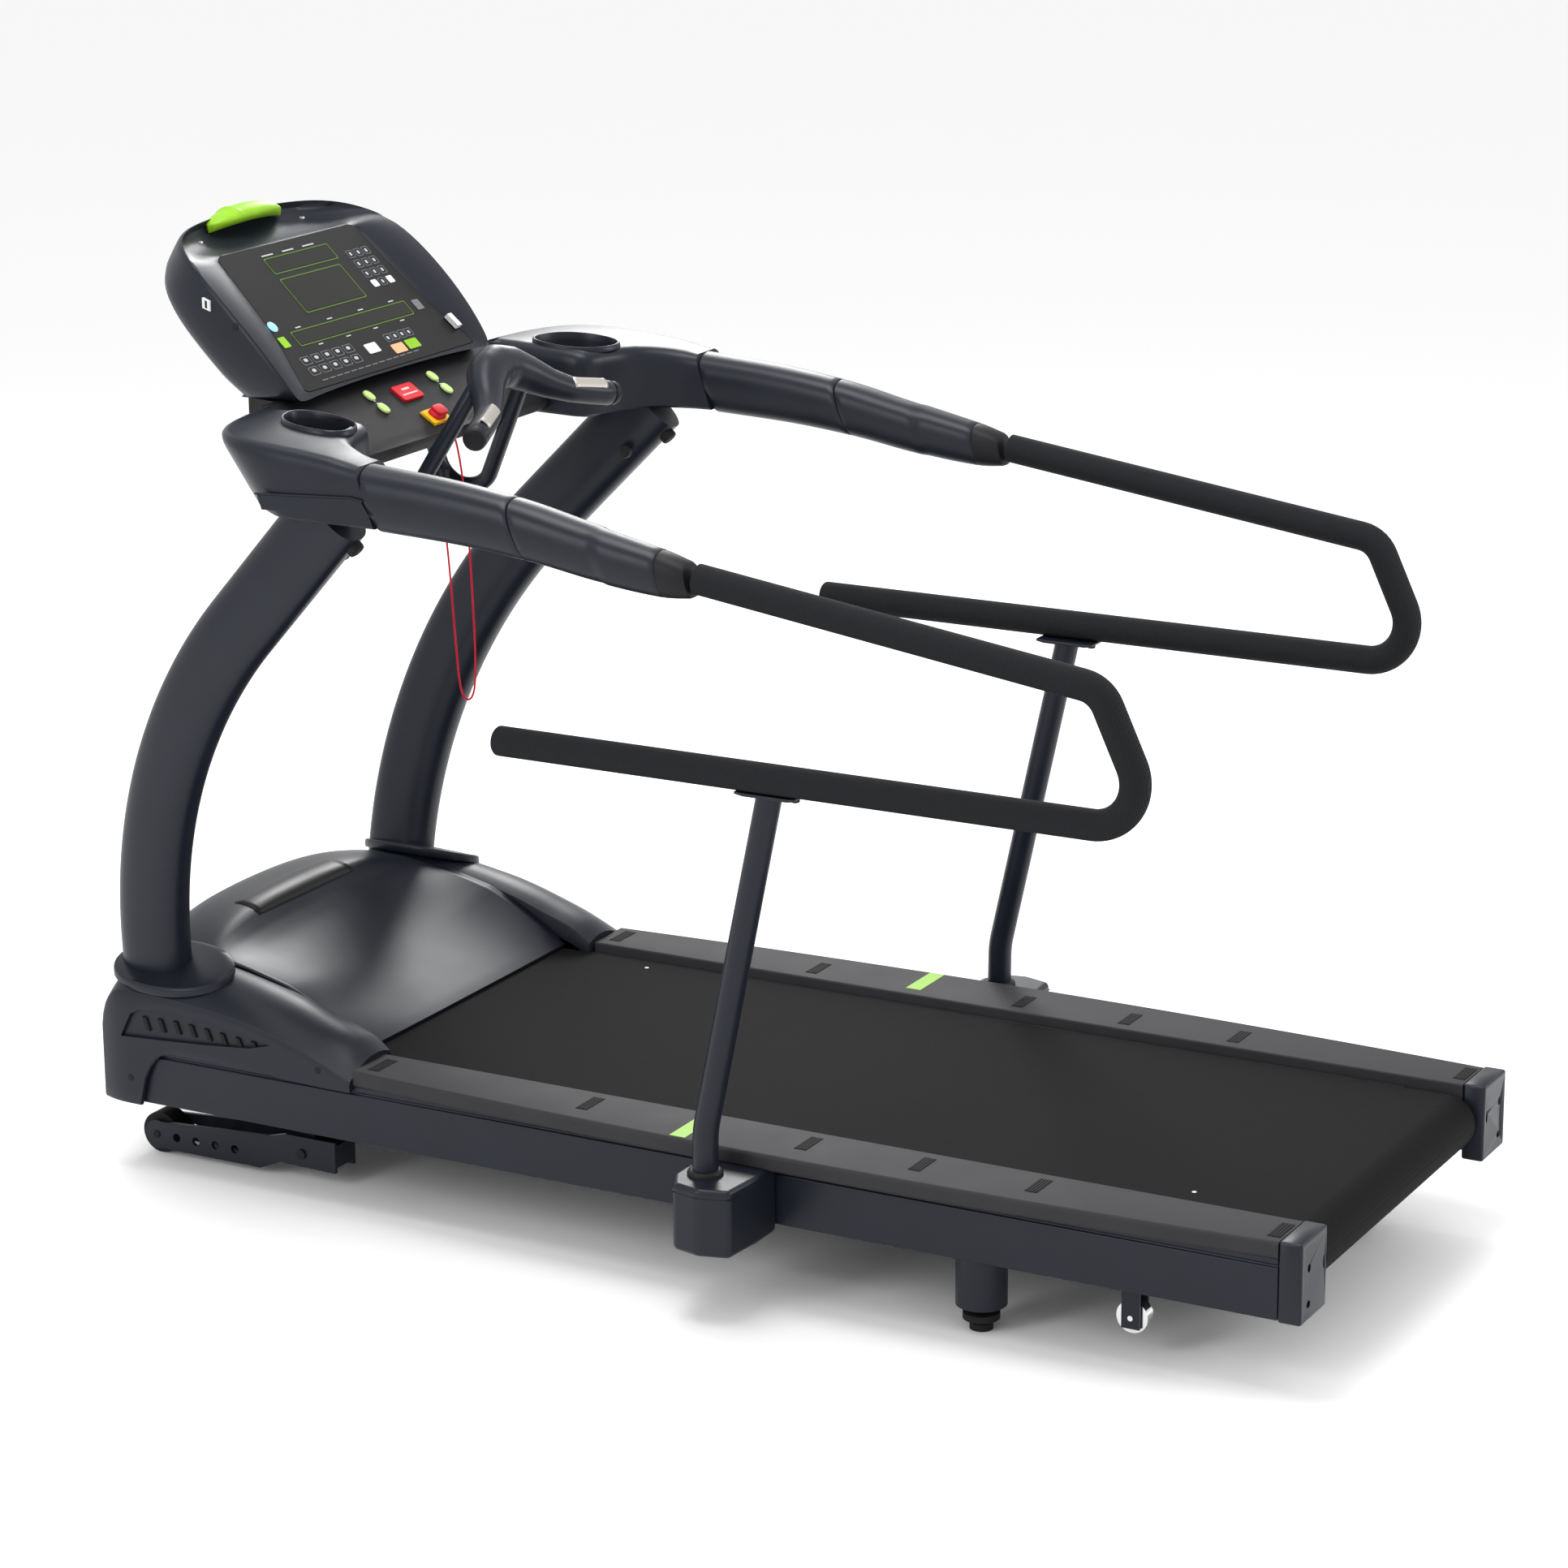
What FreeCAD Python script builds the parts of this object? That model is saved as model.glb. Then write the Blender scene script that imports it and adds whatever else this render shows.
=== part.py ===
"""Motorised rehabilitation treadmill with long medical handrails, as an assembly of separate pieces.

Row frame: +Y is the walking direction (towards the console), +X is the walker's right, +Z is up.
The origin is on the floor, at the centre of the machine's footprint. Units are millimetres.
"""

import FreeCAD, Part

import math
import os

import Sketcher

V = FreeCAD.Vector
SIDES = (("left", -1), ("right", 1))

# alias, value in mm (or degrees), what it is
DIMENSIONS = [
    ("deck_half", 400, "half width over the side rails"),
    ("rail_wide", 60, "side rail width"),
    ("rail_low", 114, "underside of the side rails"),
    ("rail_high", 205, "top of the side rails"),
    ("rail_wall", 3, "side rail wall"),
    ("rail_rear", -990, "rear end of the side rails"),
    ("rail_front", 930, "front end of the side rails"),
    ("rear_end", -1025, "rear face of the end caps"),
    ("front_end", 1025, "foremost point of the hood"),
    ("foot_high", 230, "top of the foot rails"),
    ("foot_inner", 310, "inner edge of the foot rails, from the middle"),
    ("foot_front", 516, "front end of the foot rails"),
    ("foot_bow", 28, "how far the foot rail's outer edge bows out"),
    ("pad_pitch", 183.2, "spacing of the tread pads"),
    ("pad_first", 490, "place of the first tread pad"),
    ("belt_half", 292, "half width of the walking belt"),
    ("belt_high", 218, "top of the walking belt"),
    ("belt_thick", 3, "walking belt thickness"),
    ("roller_radius", 40, "radius of both rollers"),
    ("rear_roller_y", -975, "rear roller axis"),
    ("front_roller_y", 620, "front roller axis"),
    ("shaft_radius", 10, "roller shaft radius"),
    ("roller_pulley", 50, "radius of the pulley on the front roller"),
    ("motor_pulley", 25, "radius of the motor pulley"),
    ("motor_y", 800, "motor axis"),
    ("motor_z", 218, "motor axis height"),
    ("motor_radius", 55, "motor casing radius"),
    ("pivot_y", 665, "lift frame pivot"),
    ("pivot_z", 47, "lift frame pivot height"),
    ("pivot_pin", 8, "lift pivot pin radius"),
    ("lift_wheel_y", 941, "lift wheel axle"),
    ("lift_wheel_radius", 33, "lift wheel radius"),
    ("lift_arm_x", 302, "middle of a lift arm"),
    ("lever_high", 60, "lift lever length above the pivot"),
    ("foot_y", -522, "levelling foot"),
    ("foot_x", 360, "levelling foot, from the middle"),
    ("caster_y", -757, "rear transport wheel"),
    ("caster_x", 352, "rear transport wheel, from the middle"),
    ("column_y", 910, "column axis at its foot"),
    ("column_x", 345, "column axis at its foot, from the middle"),
    ("column_splay", 8.2, "outward lean of the columns, degrees"),
    ("column_radius", 900, "bend radius of the columns"),
    ("column_turn", 44, "how far the columns bend, degrees"),
    ("column_depth", 116, "column section, fore and aft"),
    ("column_width", 72, "column section, across"),
    ("column_wall", 4, "column wall"),
    ("rail_tube", 19, "handrail tube radius"),
    ("sleeve_radius", 22, "handrail foam sleeve radius"),
    ("handrail_x", 495, "handrail, from the middle"),
    ("handrail_low", 813, "height of the lower handrail run"),
    ("post_radius", 19, "handrail post radius"),
    ("post_x", 480, "handrail post, from the middle"),
    ("arm_x", 488, "middle of the handrail arms"),
    ("cup_x", 358, "cup pocket, from the middle"),
    ("cup_y", 570, "cup pocket"),
    ("cup_radius", 42, "cup pocket radius"),
    ("console_half", 292, "half width of the console head"),
    ("dash_half", 300, "half width of the dash between the arms"),
    ("cord_radius", 1.6, "safety tether radius"),
]

doc = FreeCAD.newDocument("treadmill")
sheet = doc.addObject("Spreadsheet::Sheet", "dims")
for row, (alias, value, meaning) in enumerate(DIMENSIONS, 1):
    sheet.set(f"A{row}", meaning)
    sheet.set(f"B{row}", str(value))
    sheet.setAlias(f"B{row}", alias)
doc.recompute()

NODES = {}


def size(alias):
    """A driving dimension, read back from the sheet."""
    return float(sheet.get(alias))


def keep(label, obj):
    """Registers an object as one of the machine's nodes."""
    obj.Label = label
    NODES[label] = obj
    return obj


def place(obj, x, y, z):
    """Binds an object's position to three sheet expressions."""
    for axis, expression in zip("xyz", (x, y, z)):
        obj.setExpression(f"Placement.Base.{axis}", expression)


def box(name, x, y, z, length, width, height):
    """A Part box whose corner and sizes are sheet expressions."""
    made = doc.addObject("Part::Box", name)
    place(made, x, y, z)
    made.setExpression("Length", length)
    made.setExpression("Width", width)
    made.setExpression("Height", height)
    return made


def cylinder(name, along, x, y, z, radius, height):
    """A Part cylinder starting at x, y, z and running along one row axis."""
    made = doc.addObject("Part::Cylinder", name)
    turn = {
        "X": FreeCAD.Rotation(V(0, 1, 0), 90),
        "Y": FreeCAD.Rotation(V(1, 0, 0), -90),
        "Z": FreeCAD.Rotation(),
    }[along]
    made.Placement = FreeCAD.Placement(V(), turn)
    place(made, x, y, z)
    made.setExpression("Radius", radius)
    made.setExpression("Height", height)
    return made


def cut(name, base, tool):
    made = doc.addObject("Part::Cut", name)
    made.Base = base
    made.Tool = tool
    return made


def fuse(name, shapes):
    made = doc.addObject("Part::MultiFuse", name)
    made.Shapes = shapes
    return made


def group(name, shapes):
    """Several separate solids that share one node."""
    made = doc.addObject("Part::Compound", name)
    made.Links = shapes
    return made


def feature(name, shape):
    made = doc.addObject("Part::Feature", name)
    made.Shape = shape
    return made


def outline(sketch, points):
    """Draws a closed outline. A point of four numbers bulges: (x, y, mid x, mid y) ends an arc at x, y."""
    start = points[-1][:2]
    for index, point in enumerate(points):
        a, b = V(*start, 0), V(point[0], point[1], 0)
        if len(point) == 4:
            sketch.addGeometry(Part.Arc(a, V(point[2], point[3], 0), b), False)
        else:
            sketch.addGeometry(Part.LineSegment(a, b), False)
        start = point[:2]
    count = len(points)
    for index in range(count):
        first, second = points[index], points[(index + 1) % count]
        if len(first) == 2 and len(second) == 2:
            sketch.addConstraint(Sketcher.Constraint("Coincident", index, 2, (index + 1) % count, 1))


def extruded(label, plane, points, depth, offset="0", fillet=0.0, edges=None):
    """A body padded from an outline on one of its origin planes, moved off that plane by offset."""
    body = doc.addObject("PartDesign::Body", label)
    sketch = body.newObject("Sketcher::SketchObject", label + "_sketch")
    role = plane + "_Plane"
    support = [o for o in body.Origin.OriginFeatures if o.Role == role][0]
    sketch.AttachmentSupport = [(support, "")]
    sketch.MapMode = "FlatFace"
    outline(sketch, points)
    pad = body.newObject("PartDesign::Pad", label + "_pad")
    pad.Profile = sketch
    pad.setExpression("Length", depth)
    axis = {"YZ": "x", "XY": "z", "XZ": "y"}[plane]
    body.setExpression(f"Placement.Base.{axis}", offset)
    doc.recompute()
    if fillet:
        round_off = body.newObject("PartDesign::Fillet", label + "_fillet")
        chosen = [f"Edge{i + 1}" for i, e in enumerate(pad.Shape.Edges) if edges is None or edges(e)]
        round_off.Base = (pad, chosen)
        round_off.Radius = fillet
        body.Tip = round_off
        doc.recompute()
    return body


def path_wire(points, radii):
    """Straight runs through the points, joined by tangent arcs of the given radii at the inner points."""
    edges, last = [], V(*points[0])
    for before, corner, after, radius in zip(points, points[1:], points[2:], radii):
        b, c, a = V(*before), V(*corner), V(*after)
        into, out = (c - b).normalize(), (a - c).normalize()
        half = math.acos(max(-1.0, min(1.0, into * out))) / 2
        back = radius * math.tan(half)
        start, end = c - into * back, c + out * back
        middle = c + (out - into).normalize() * (radius / math.cos(half) - radius)
        edges.append(Part.LineSegment(last, start).toShape())
        edges.append(Part.Arc(start, middle, end).toShape())
        last = end
    edges.append(Part.LineSegment(last, V(*points[-1])).toShape())
    return Part.Wire(edges)


def swept(wire, radius, hole=0.0):
    """A round tube or rod along a wire."""
    first = wire.Edges[0]
    start, heading = first.valueAt(first.FirstParameter), first.tangentAt(first.FirstParameter)
    ring = Part.Wire(Part.Circle(start, heading, radius).toShape())
    solid = wire.makePipeShell([ring], True, False)
    if hole:
        inner = Part.Wire(Part.Circle(start, heading, hole).toShape())
        solid = solid.cut(wire.makePipeShell([inner], True, False))
    return solid.Solids[0] if len(solid.Solids) == 1 else solid


def oval(centre, across, along, half_across, half_along):
    """An ellipse wire centred on centre, with its two half axes along the given directions."""
    if half_along >= half_across:
        major, minor, big, small = along, across, half_along, half_across
    else:
        major, minor, big, small = across, along, half_across, half_along
    curve = Part.Ellipse(centre + major * big, centre + minor * small, centre)
    return Part.Wire(curve.toShape())


def rounded_section(y, z, x, half_x, half_z, corner):
    """A rounded rectangle in the XZ plane at y, as a wire, centred on x and z."""
    corner = min(corner, half_x * 0.98, half_z * 0.98)
    edges = []
    k = corner * (1 - math.sqrt(0.5))
    corners = [(1, 1), (-1, 1), (-1, -1), (1, -1)]
    points = []
    for sx, sz in corners:
        first = V(x + sx * half_x, y, z + sz * (half_z - corner))
        second = V(x + sx * (half_x - corner), y, z + sz * half_z)
        if sx * sz < 0:
            first, second = second, first
        points.append((first, V(x + sx * (half_x - k), y, z + sz * (half_z - k)), second))
    for index, (first, middle, second) in enumerate(points):
        edges.append(Part.Arc(first, middle, second).toShape())
        edges.append(Part.LineSegment(second, points[(index + 1) % 4][0]).toShape())
    return Part.Wire(edges)


def lofted(sections):
    """A solid through rounded sections given as (y, z, x, half x, half z, corner)."""
    return Part.makeLoft([rounded_section(*s) for s in sections], True, False)


# ---------------------------------------------------------------- base frame


def side_rails():
    rails = []
    for side, sign in SIDES:
        low_x = "dims.deck_half - dims.rail_wide" if sign > 0 else "-dims.deck_half"
        outer = box(
            f"rail_{side}_outer",
            low_x,
            "dims.rail_rear",
            "dims.rail_low",
            "dims.rail_wide",
            "dims.rail_front - dims.rail_rear",
            "dims.rail_high - dims.rail_low",
        )
        inner = box(
            f"rail_{side}_inner",
            f"{low_x} + dims.rail_wall",
            "dims.rail_rear - 5",
            "dims.rail_low + dims.rail_wall",
            "dims.rail_wide - 2 * dims.rail_wall",
            "dims.rail_front - dims.rail_rear + 10",
            "dims.rail_high - dims.rail_low - 2 * dims.rail_wall",
        )
        rails.append(cut(f"rail_{side}", outer, inner))
    keep("side_rails", group("side_rail_pair", rails))


def frame_welded():
    """Cross tubes, the motor plate and the roller bearing blocks, welded between the two side rails."""
    inside = "2 * (dims.deck_half - dims.rail_wide)"
    left = "-(dims.deck_half - dims.rail_wide)"
    axis_z = "(dims.belt_high - dims.belt_thick - dims.roller_radius)"
    made = []
    for index, (y, low) in enumerate(((880, 114), (704, 114), (-60, 148), (-560, 148))):
        made.append(box(f"cross_{index}", left, str(y), str(low), inside, "40", "36"))
    made.append(box("motor_plate", "-250", "704", "150", "330", "216", "6"))
    for roller in ("rear_roller_y", "front_roller_y"):
        for side, sign in SIDES:
            x = "dims.deck_half - dims.rail_wide - 12" if sign > 0 else left
            made.append(box(f"block_{roller}_{side}", x, f"dims.{roller} - 14.8", "130", "12", "39", "70"))
    bores = [
        cylinder(f"bore_{roller}", "X", "-345", f"dims.{roller}", axis_z, "dims.shaft_radius + 0.05", "690")
        for roller in ("rear_roller_y", "front_roller_y")
    ]
    keep("frame_crossmembers", cut("crossmembers", group("frame_solids", made), group("frame_bores", bores)))


def rollers():
    axis_z = "dims.belt_high - dims.belt_thick - dims.roller_radius"
    radius, length = "dims.roller_radius - 0.3", "2 * dims.belt_half + 12"
    for name, y in (("front_roller", "dims.front_roller_y"), ("rear_roller", "dims.rear_roller_y")):
        drum = cylinder(name + "_drum", "X", "-dims.belt_half - 6", y, axis_z, radius, length)
        shaft = cylinder(name + "_shaft", "X", "-338", y, axis_z, "dims.shaft_radius", "676")
        pieces = [drum, shaft]
        if name == "front_roller":
            pieces.append(cylinder("roller_sheave", "X", "-324", y, axis_z, "dims.roller_pulley", "20"))
        keep(name, fuse(name + "_fused", pieces))


def loop_shape(circles, thick, x, wide):
    """A belt of one thickness around two circles (y, z, radius), running from x to x + wide."""

    def hull(extra):
        (y1, z1, r1), (y2, z2, r2) = [(y, z, r + extra) for y, z, r in circles]
        distance = math.hypot(y2 - y1, z2 - z1)
        lean = math.atan2(z2 - z1, y2 - y1)
        open_angle = math.acos((r1 - r2) / distance)
        tangents = []
        for sign in (1, -1):
            angle = lean + sign * open_angle
            tangents.append(
                (
                    V(x, y1 + r1 * math.cos(angle), z1 + r1 * math.sin(angle)),
                    V(x, y2 + r2 * math.cos(angle), z2 + r2 * math.sin(angle)),
                )
            )
        far1 = V(x, y1 - r1 * math.cos(lean), z1 - r1 * math.sin(lean))
        far2 = V(x, y2 + r2 * math.cos(lean), z2 + r2 * math.sin(lean))
        (top1, top2), (low1, low2) = tangents
        edges = [
            Part.LineSegment(top1, top2).toShape(),
            Part.Arc(top2, far2, low2).toShape(),
            Part.LineSegment(low2, low1).toShape(),
            Part.Arc(low1, far1, top1).toShape(),
        ]
        return Part.Face(Part.Wire(edges))

    return hull(thick).cut(hull(0)).extrude(V(wide, 0, 0)).Solids[0]


def belts():
    roller_z = size("belt_high") - size("belt_thick") - size("roller_radius")
    walking = [(size(y), roller_z, size("roller_radius")) for y in ("rear_roller_y", "front_roller_y")]
    half = size("belt_half")
    keep("walking_belt", feature("walking_belt", loop_shape(walking, size("belt_thick"), -half, 2 * half)))
    gap = 0.4
    drive = [
        (size("front_roller_y"), roller_z, size("roller_pulley") + gap),
        (size("motor_y"), size("motor_z"), size("motor_pulley") + gap),
    ]
    keep("drive_belt", feature("drive_belt", loop_shape(drive, 3, -322, 16)))


def running_deck():
    """The board under the walking belt, on rubber cushions that stand on ledges of the rails."""
    keep(
        "running_deck",
        box("deck_board", "-306", "-900", "192", "612", "1440", "dims.belt_high - dims.belt_thick - 192.5"),
    )
    made = []
    for side, sign in SIDES:
        for index in range(4):
            x = "300" if sign > 0 else "-338"
            y = -820 + index * 420
            made.append(box(f"cushion_{side}_{index}", x, str(y), "172", "38", "44", "20"))
            made.append(box(f"ledge_{side}_{index}", x, str(y - 8), "164", "38", "60", "8"))
    keep("deck_cushions", group("deck_cushion_set", made))


PAD_FLOOR = "dims.foot_high - 1.5"


def footrails():
    """Moulded treads on the rails. The outer edge is one long arc, widest at mid length."""
    inner, outer = size("foot_inner"), size("deck_half")
    front, rear = size("foot_front"), size("rail_rear")
    bow, middle = size("foot_bow"), (size("foot_front") + size("rail_rear")) / 2
    for side, sign in SIDES:
        corners = [
            (sign * inner, rear),
            (sign * (outer + 3), rear),
            (sign * (outer + 3), front, sign * (outer + 3 + bow), middle),
            (sign * inner, front),
        ]
        if sign < 0:
            edge = sign * (outer + 3)
            corners = [corners[3], (edge, front), (edge, rear, edge + sign * bow, middle), corners[0]]
        tread = extruded(
            f"footrail_{side}_tread",
            "XY",
            corners,
            "dims.foot_high - dims.rail_high",
            "dims.rail_high",
            4.0,
            lambda e: e.BoundBox.ZMin > size("foot_high") - size("rail_high") - 1 and e.Length > 200,
        )
        pockets = []
        for index in (0, 2, 4, 5, 6, 8):
            y = f"dims.pad_first - {index} * dims.pad_pitch - 10"
            pockets.append(box(f"recess_{side}_{index}", f"{sign} * 358 - 27", y, PAD_FLOOR, "54", "20", "3"))
        marker_x, marker_y = "334" if sign > 0 else "-420", "dims.pad_first - 3 * dims.pad_pitch - 13"
        pockets.append(box(f"recess_{side}_marker", marker_x, marker_y, PAD_FLOOR, "86", "26", "3"))
        keep(f"footrail_{side}", cut(f"footrail_{side}", tread, fuse(f"recesses_{side}", pockets)))


def pads_and_markers():
    pads, markers = [], []
    for side, sign in SIDES:
        for index in (0, 2, 4, 5, 6, 8):
            y = f"dims.pad_first - {index} * dims.pad_pitch - 9.9"
            pads.append(box(f"pad_{side}_{index}", f"{sign} * 358 - 26.9", y, PAD_FLOOR, "53.8", "19.8", "2.1"))
        marker_x, marker_y = "334.1" if sign > 0 else "-419.9", "dims.pad_first - 3 * dims.pad_pitch - 12.9"
        markers.append(box(f"marker_{side}", marker_x, marker_y, PAD_FLOOR, "85.8", "25.8", "2.1"))
    keep("tread_pads", group("tread_pad_set", pads))
    keep("step_markers", group("step_marker_set", markers))


def rear_caps():
    caps = []
    for side, sign in SIDES:
        low_x = size("foot_inner") if sign > 0 else -size("deck_half") - 2
        wide = size("deck_half") + 2 - size("foot_inner")
        block = extruded(
            f"cap_{side}_block",
            "XY",
            [(low_x, -1025), (low_x + wide, -1025), (low_x + wide, -990.2), (low_x, -990.2)],
            "dims.foot_high + 2 - dims.rail_low + 2",
            "dims.rail_low - 2",
            3.0,
        )
        holes = []
        for index, (x, z) in enumerate(((375, 190), (322, 181), (375, 137))):
            holes.append(cylinder(f"cap_hole_{side}_{index}", "Y", f"{sign * x}", "-1026", f"{z}", "6.5", "16"))
        caps.append(cut(f"rear_cap_{side}", block, fuse(f"cap_holes_{side}", holes)))
    keep("rear_caps", group("rear_cap_pair", caps))
    screws = []
    for side, sign in SIDES:
        for index, (x, z) in enumerate(((375, 190), (322, 181), (375, 137))):
            screws.append(
                cylinder(f"cap_screw_{side}_{index}", "Y", f"{sign * x}", "-1018", f"{z}", "5.5", "7.9")
            )
    return screws


# ---------------------------------------------------------------- drive and lift


def motor():
    casing = cylinder("motor_casing", "X", "-240", "dims.motor_y", "dims.motor_z", "dims.motor_radius", "270")
    foot = box("motor_foot", "-200", "dims.motor_y - 40", "156", "190", "80", "30")
    fan = cylinder("motor_fan_cover", "X", "30", "dims.motor_y", "dims.motor_z", "dims.motor_radius - 6", "26")
    bore = cylinder("motor_bore", "X", "-241", "dims.motor_y", "dims.motor_z", "8.1", "200")
    keep("drive_motor", cut("drive_motor", fuse("motor_solid", [casing, foot, fan]), bore))
    shaft = cylinder("motor_shaft", "X", "-320", "dims.motor_y", "dims.motor_z", "8", "270")
    sheave = cylinder("motor_sheave", "X", "-324", "dims.motor_y", "dims.motor_z", "dims.motor_pulley", "20")
    keep("motor_pulley", fuse("motor_rotor", [shaft, sheave]))


def lift_frame():
    """Two channel arms on a cross tube, with a lever for the lift screw."""
    pivot_y, pivot_z = size("pivot_y"), size("pivot_z")
    wheel_y, wheel_r = size("lift_wheel_y"), size("lift_wheel_radius")
    plate = [
        (pivot_y - 62, pivot_z - 22),
        (pivot_y + 40, pivot_z - 20),
        (pivot_y + 80, pivot_z - 36),
        (wheel_y - 10, wheel_r - 22),
        (wheel_y - 10, wheel_r + 22, wheel_y + 22, wheel_r),
        (pivot_y + 60, pivot_z + 20),
        (pivot_y + 30, pivot_z + 28),
        (pivot_y - 62, pivot_z + 28),
    ]
    solids = []
    middle = size("lift_arm_x")
    for sign in (-1, 1):
        for offset in (-28, 22):
            x = sign * middle + offset
            face = Part.Face(Part.Wire(outline_edges(plate, x)))
            side = face.extrude(V(6, 0, 0))
            for hole in range(4):
                side = side.cut(
                    Part.makeCylinder(7, 10, V(x - 2, wheel_y - 38 - hole * 37, wheel_r), V(1, 0, 0))
                )
            side = side.cut(Part.makeCylinder(8.1, 10, V(x - 2, pivot_y, pivot_z), V(1, 0, 0)))
            side = side.cut(Part.makeCylinder(6.1, 10, V(x - 2, wheel_y, wheel_r), V(1, 0, 0)))
            solids.append(side)
        solids.append(Part.makeBox(44, 120, 5, V(sign * middle - 22, pivot_y + 86, wheel_r - 17)))
        solids.append(Part.makeBox(44, 5, 36, V(sign * middle - 22, pivot_y - 62, pivot_z - 14)))
    inner = middle - 28
    tube = Part.makeCylinder(15, 2 * inner, V(-inner, pivot_y, pivot_z), V(1, 0, 0))
    solids.append(tube)
    lever = Part.makeBox(12, 16, size("lever_high") - 8, V(-6, pivot_y - 8, pivot_z))
    pin = Part.makeCylinder(6, 34, V(-17, pivot_y, pivot_z + size("lever_high") - 14), V(1, 0, 0))
    solids += [lever, pin]
    whole = solids[0].multiFuse(solids[1:]).removeSplitter()
    # The pins run on into the cross tube.
    for sign in (-1, 1):
        start = V(sign * inner, pivot_y, pivot_z)
        whole = whole.cut(Part.makeCylinder(8.1, 40, start - V(sign * 36, 0, 0), V(sign, 0, 0)))
    keep("lift_frame", feature("lift_frame", whole))


def outline_edges(points, x):
    """The edges of a closed outline in the YZ plane at x. Four numbers end an arc."""
    edges, start = [], points[-1][:2]
    for point in points:
        a, b = V(x, *start), V(x, *point[:2])
        if len(point) == 4:
            edges.append(Part.Arc(a, V(x, *point[2:]), b).toShape())
        else:
            edges.append(Part.LineSegment(a, b).toShape())
        start = point[:2]
    return edges


def lift_pins_and_brackets():
    brackets, pins = [], []
    for side, sign in SIDES:
        x = f"{sign} * dims.lift_arm_x"
        high = "dims.rail_low + 12 - dims.pivot_z + 16"
        block = box(
            f"lift_block_{side}", f"{x} - 15", "dims.pivot_y - 16", "dims.pivot_z - 16", "30", "32", high
        )
        reach = box(
            f"lift_reach_{side}",
            "283" if sign > 0 else "-340",
            "dims.pivot_y - 16",
            "dims.rail_low",
            "57",
            "55",
            "12",
        )
        bore = cylinder(f"lift_bore_{side}", "X", f"{x} - 30", "dims.pivot_y", "dims.pivot_z", "8.1", "60")
        brackets.append(cut(f"lift_bracket_{side}", fuse(f"lift_bracket_solid_{side}", [block, reach]), bore))
        start = f"{x} - 30" if sign > 0 else f"{x} - 32"
        pins.append(
            cylinder(f"lift_pin_{side}", "X", start, "dims.pivot_y", "dims.pivot_z", "dims.pivot_pin", "62")
        )
    keep("lift_brackets", group("lift_bracket_pair", brackets))
    return pins


def lift_wheels():
    y, radius = "dims.lift_wheel_y", "dims.lift_wheel_radius"
    for side, sign in SIDES:
        x = f"{sign} * dims.lift_arm_x"
        tyre = cylinder(f"lift_tyre_{side}", "X", f"{x} - 17", y, radius, radius, "34")
        axle = cylinder(f"lift_axle_{side}", "X", f"{x} - 30", y, radius, "6", "60")
        keep(f"lift_wheel_{side}", fuse(f"lift_wheel_{side}", [tyre, axle]))


def lift_actuator():
    """Motorised screw jack. Its casing is bolted to the front crossmember; the screw moves along Y."""
    z = "dims.pivot_z + dims.lever_high - 14"
    casing = cylinder("jack_casing", "Y", "0", "dims.pivot_y + 100", z, "20", "170")
    gearbox = box("jack_gearbox", "-28", "dims.pivot_y + 190", "72", "56", "60", "dims.rail_low - 72")
    bore = cylinder("jack_bore", "Y", "0", "dims.pivot_y + 99", z, "10.1", "120")
    keep("lift_actuator", cut("lift_actuator", fuse("jack_solid", [casing, gearbox]), bore))
    screw = cylinder("jack_screw", "Y", "0", "dims.pivot_y + 22", z, "10", "140")
    head = box("jack_head", "-18", "dims.pivot_y - 14", "76", "36", "40", "36")
    slot = box("jack_slot", "-12", "dims.pivot_y - 15", "74", "24", "33", "40")
    pin_way = box("jack_pin_way", "-19", "dims.pivot_y - 9.5", "70", "38", "19", "33")
    body = cut("jack_fork", fuse("jack_fork_solid", [screw, head]), fuse("jack_fork_gaps", [slot, pin_way]))
    keep("lift_screw", body)


def levelling_feet():
    sockets = []
    for side, sign in SIDES:
        x = f"{sign} * dims.foot_x"
        tube = cylinder(f"socket_{side}", "Z", x, "dims.foot_y", "38", "37.5", "dims.rail_low - 38")
        bore = cylinder(f"socket_bore_{side}", "Z", x, "dims.foot_y", "37", "8.1", "60")
        sockets.append(cut(f"foot_socket_{side}", tube, bore))
        pad = cylinder(f"foot_pad_{side}", "Z", x, "dims.foot_y", "0", "17", "10")
        knob = cylinder(f"foot_knob_{side}", "Z", x, "dims.foot_y", "16", "27", "10")
        stud = cylinder(f"foot_stud_{side}", "Z", x, "dims.foot_y", "4", "8", "80")
        lock_nut = cylinder(f"foot_nut_{side}", "Z", x, "dims.foot_y", "28", "13", "8")
        keep(f"levelling_foot_{side}", fuse(f"levelling_foot_{side}", [pad, knob, stud, lock_nut]))
    return sockets


def transport_casters():
    forks = []
    for side, sign in SIDES:
        x = f"{sign} * dims.caster_x"
        plate = box(
            f"fork_plate_{side}", f"{x} - 20", "dims.caster_y - 30", "dims.rail_low - 5", "40", "60", "5"
        )
        cheeks = [
            box(
                f"fork_cheek_{side}_{i}",
                f"{x} + {dx}",
                "dims.caster_y - 14",
                "46",
                "4",
                "28",
                "dims.rail_low - 50",
            )
            for i, dx in enumerate((-16, 12))
        ]
        bore = cylinder(f"fork_bore_{side}", "X", f"{x} - 20", "dims.caster_y", "62", "4.1", "40")
        forks.append(cut(f"fork_{side}", fuse(f"fork_solid_{side}", [plate] + cheeks), bore))
        wheel = cylinder(f"caster_tread_{side}", "X", f"{x} - 10", "dims.caster_y", "62", "24", "20")
        axle = cylinder(f"caster_axle_{side}", "X", f"{x} - 17", "dims.caster_y", "62", "4", "34")
        keep(f"transport_wheel_{side}", fuse(f"transport_wheel_{side}", [wheel, axle]))
    return forks


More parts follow.
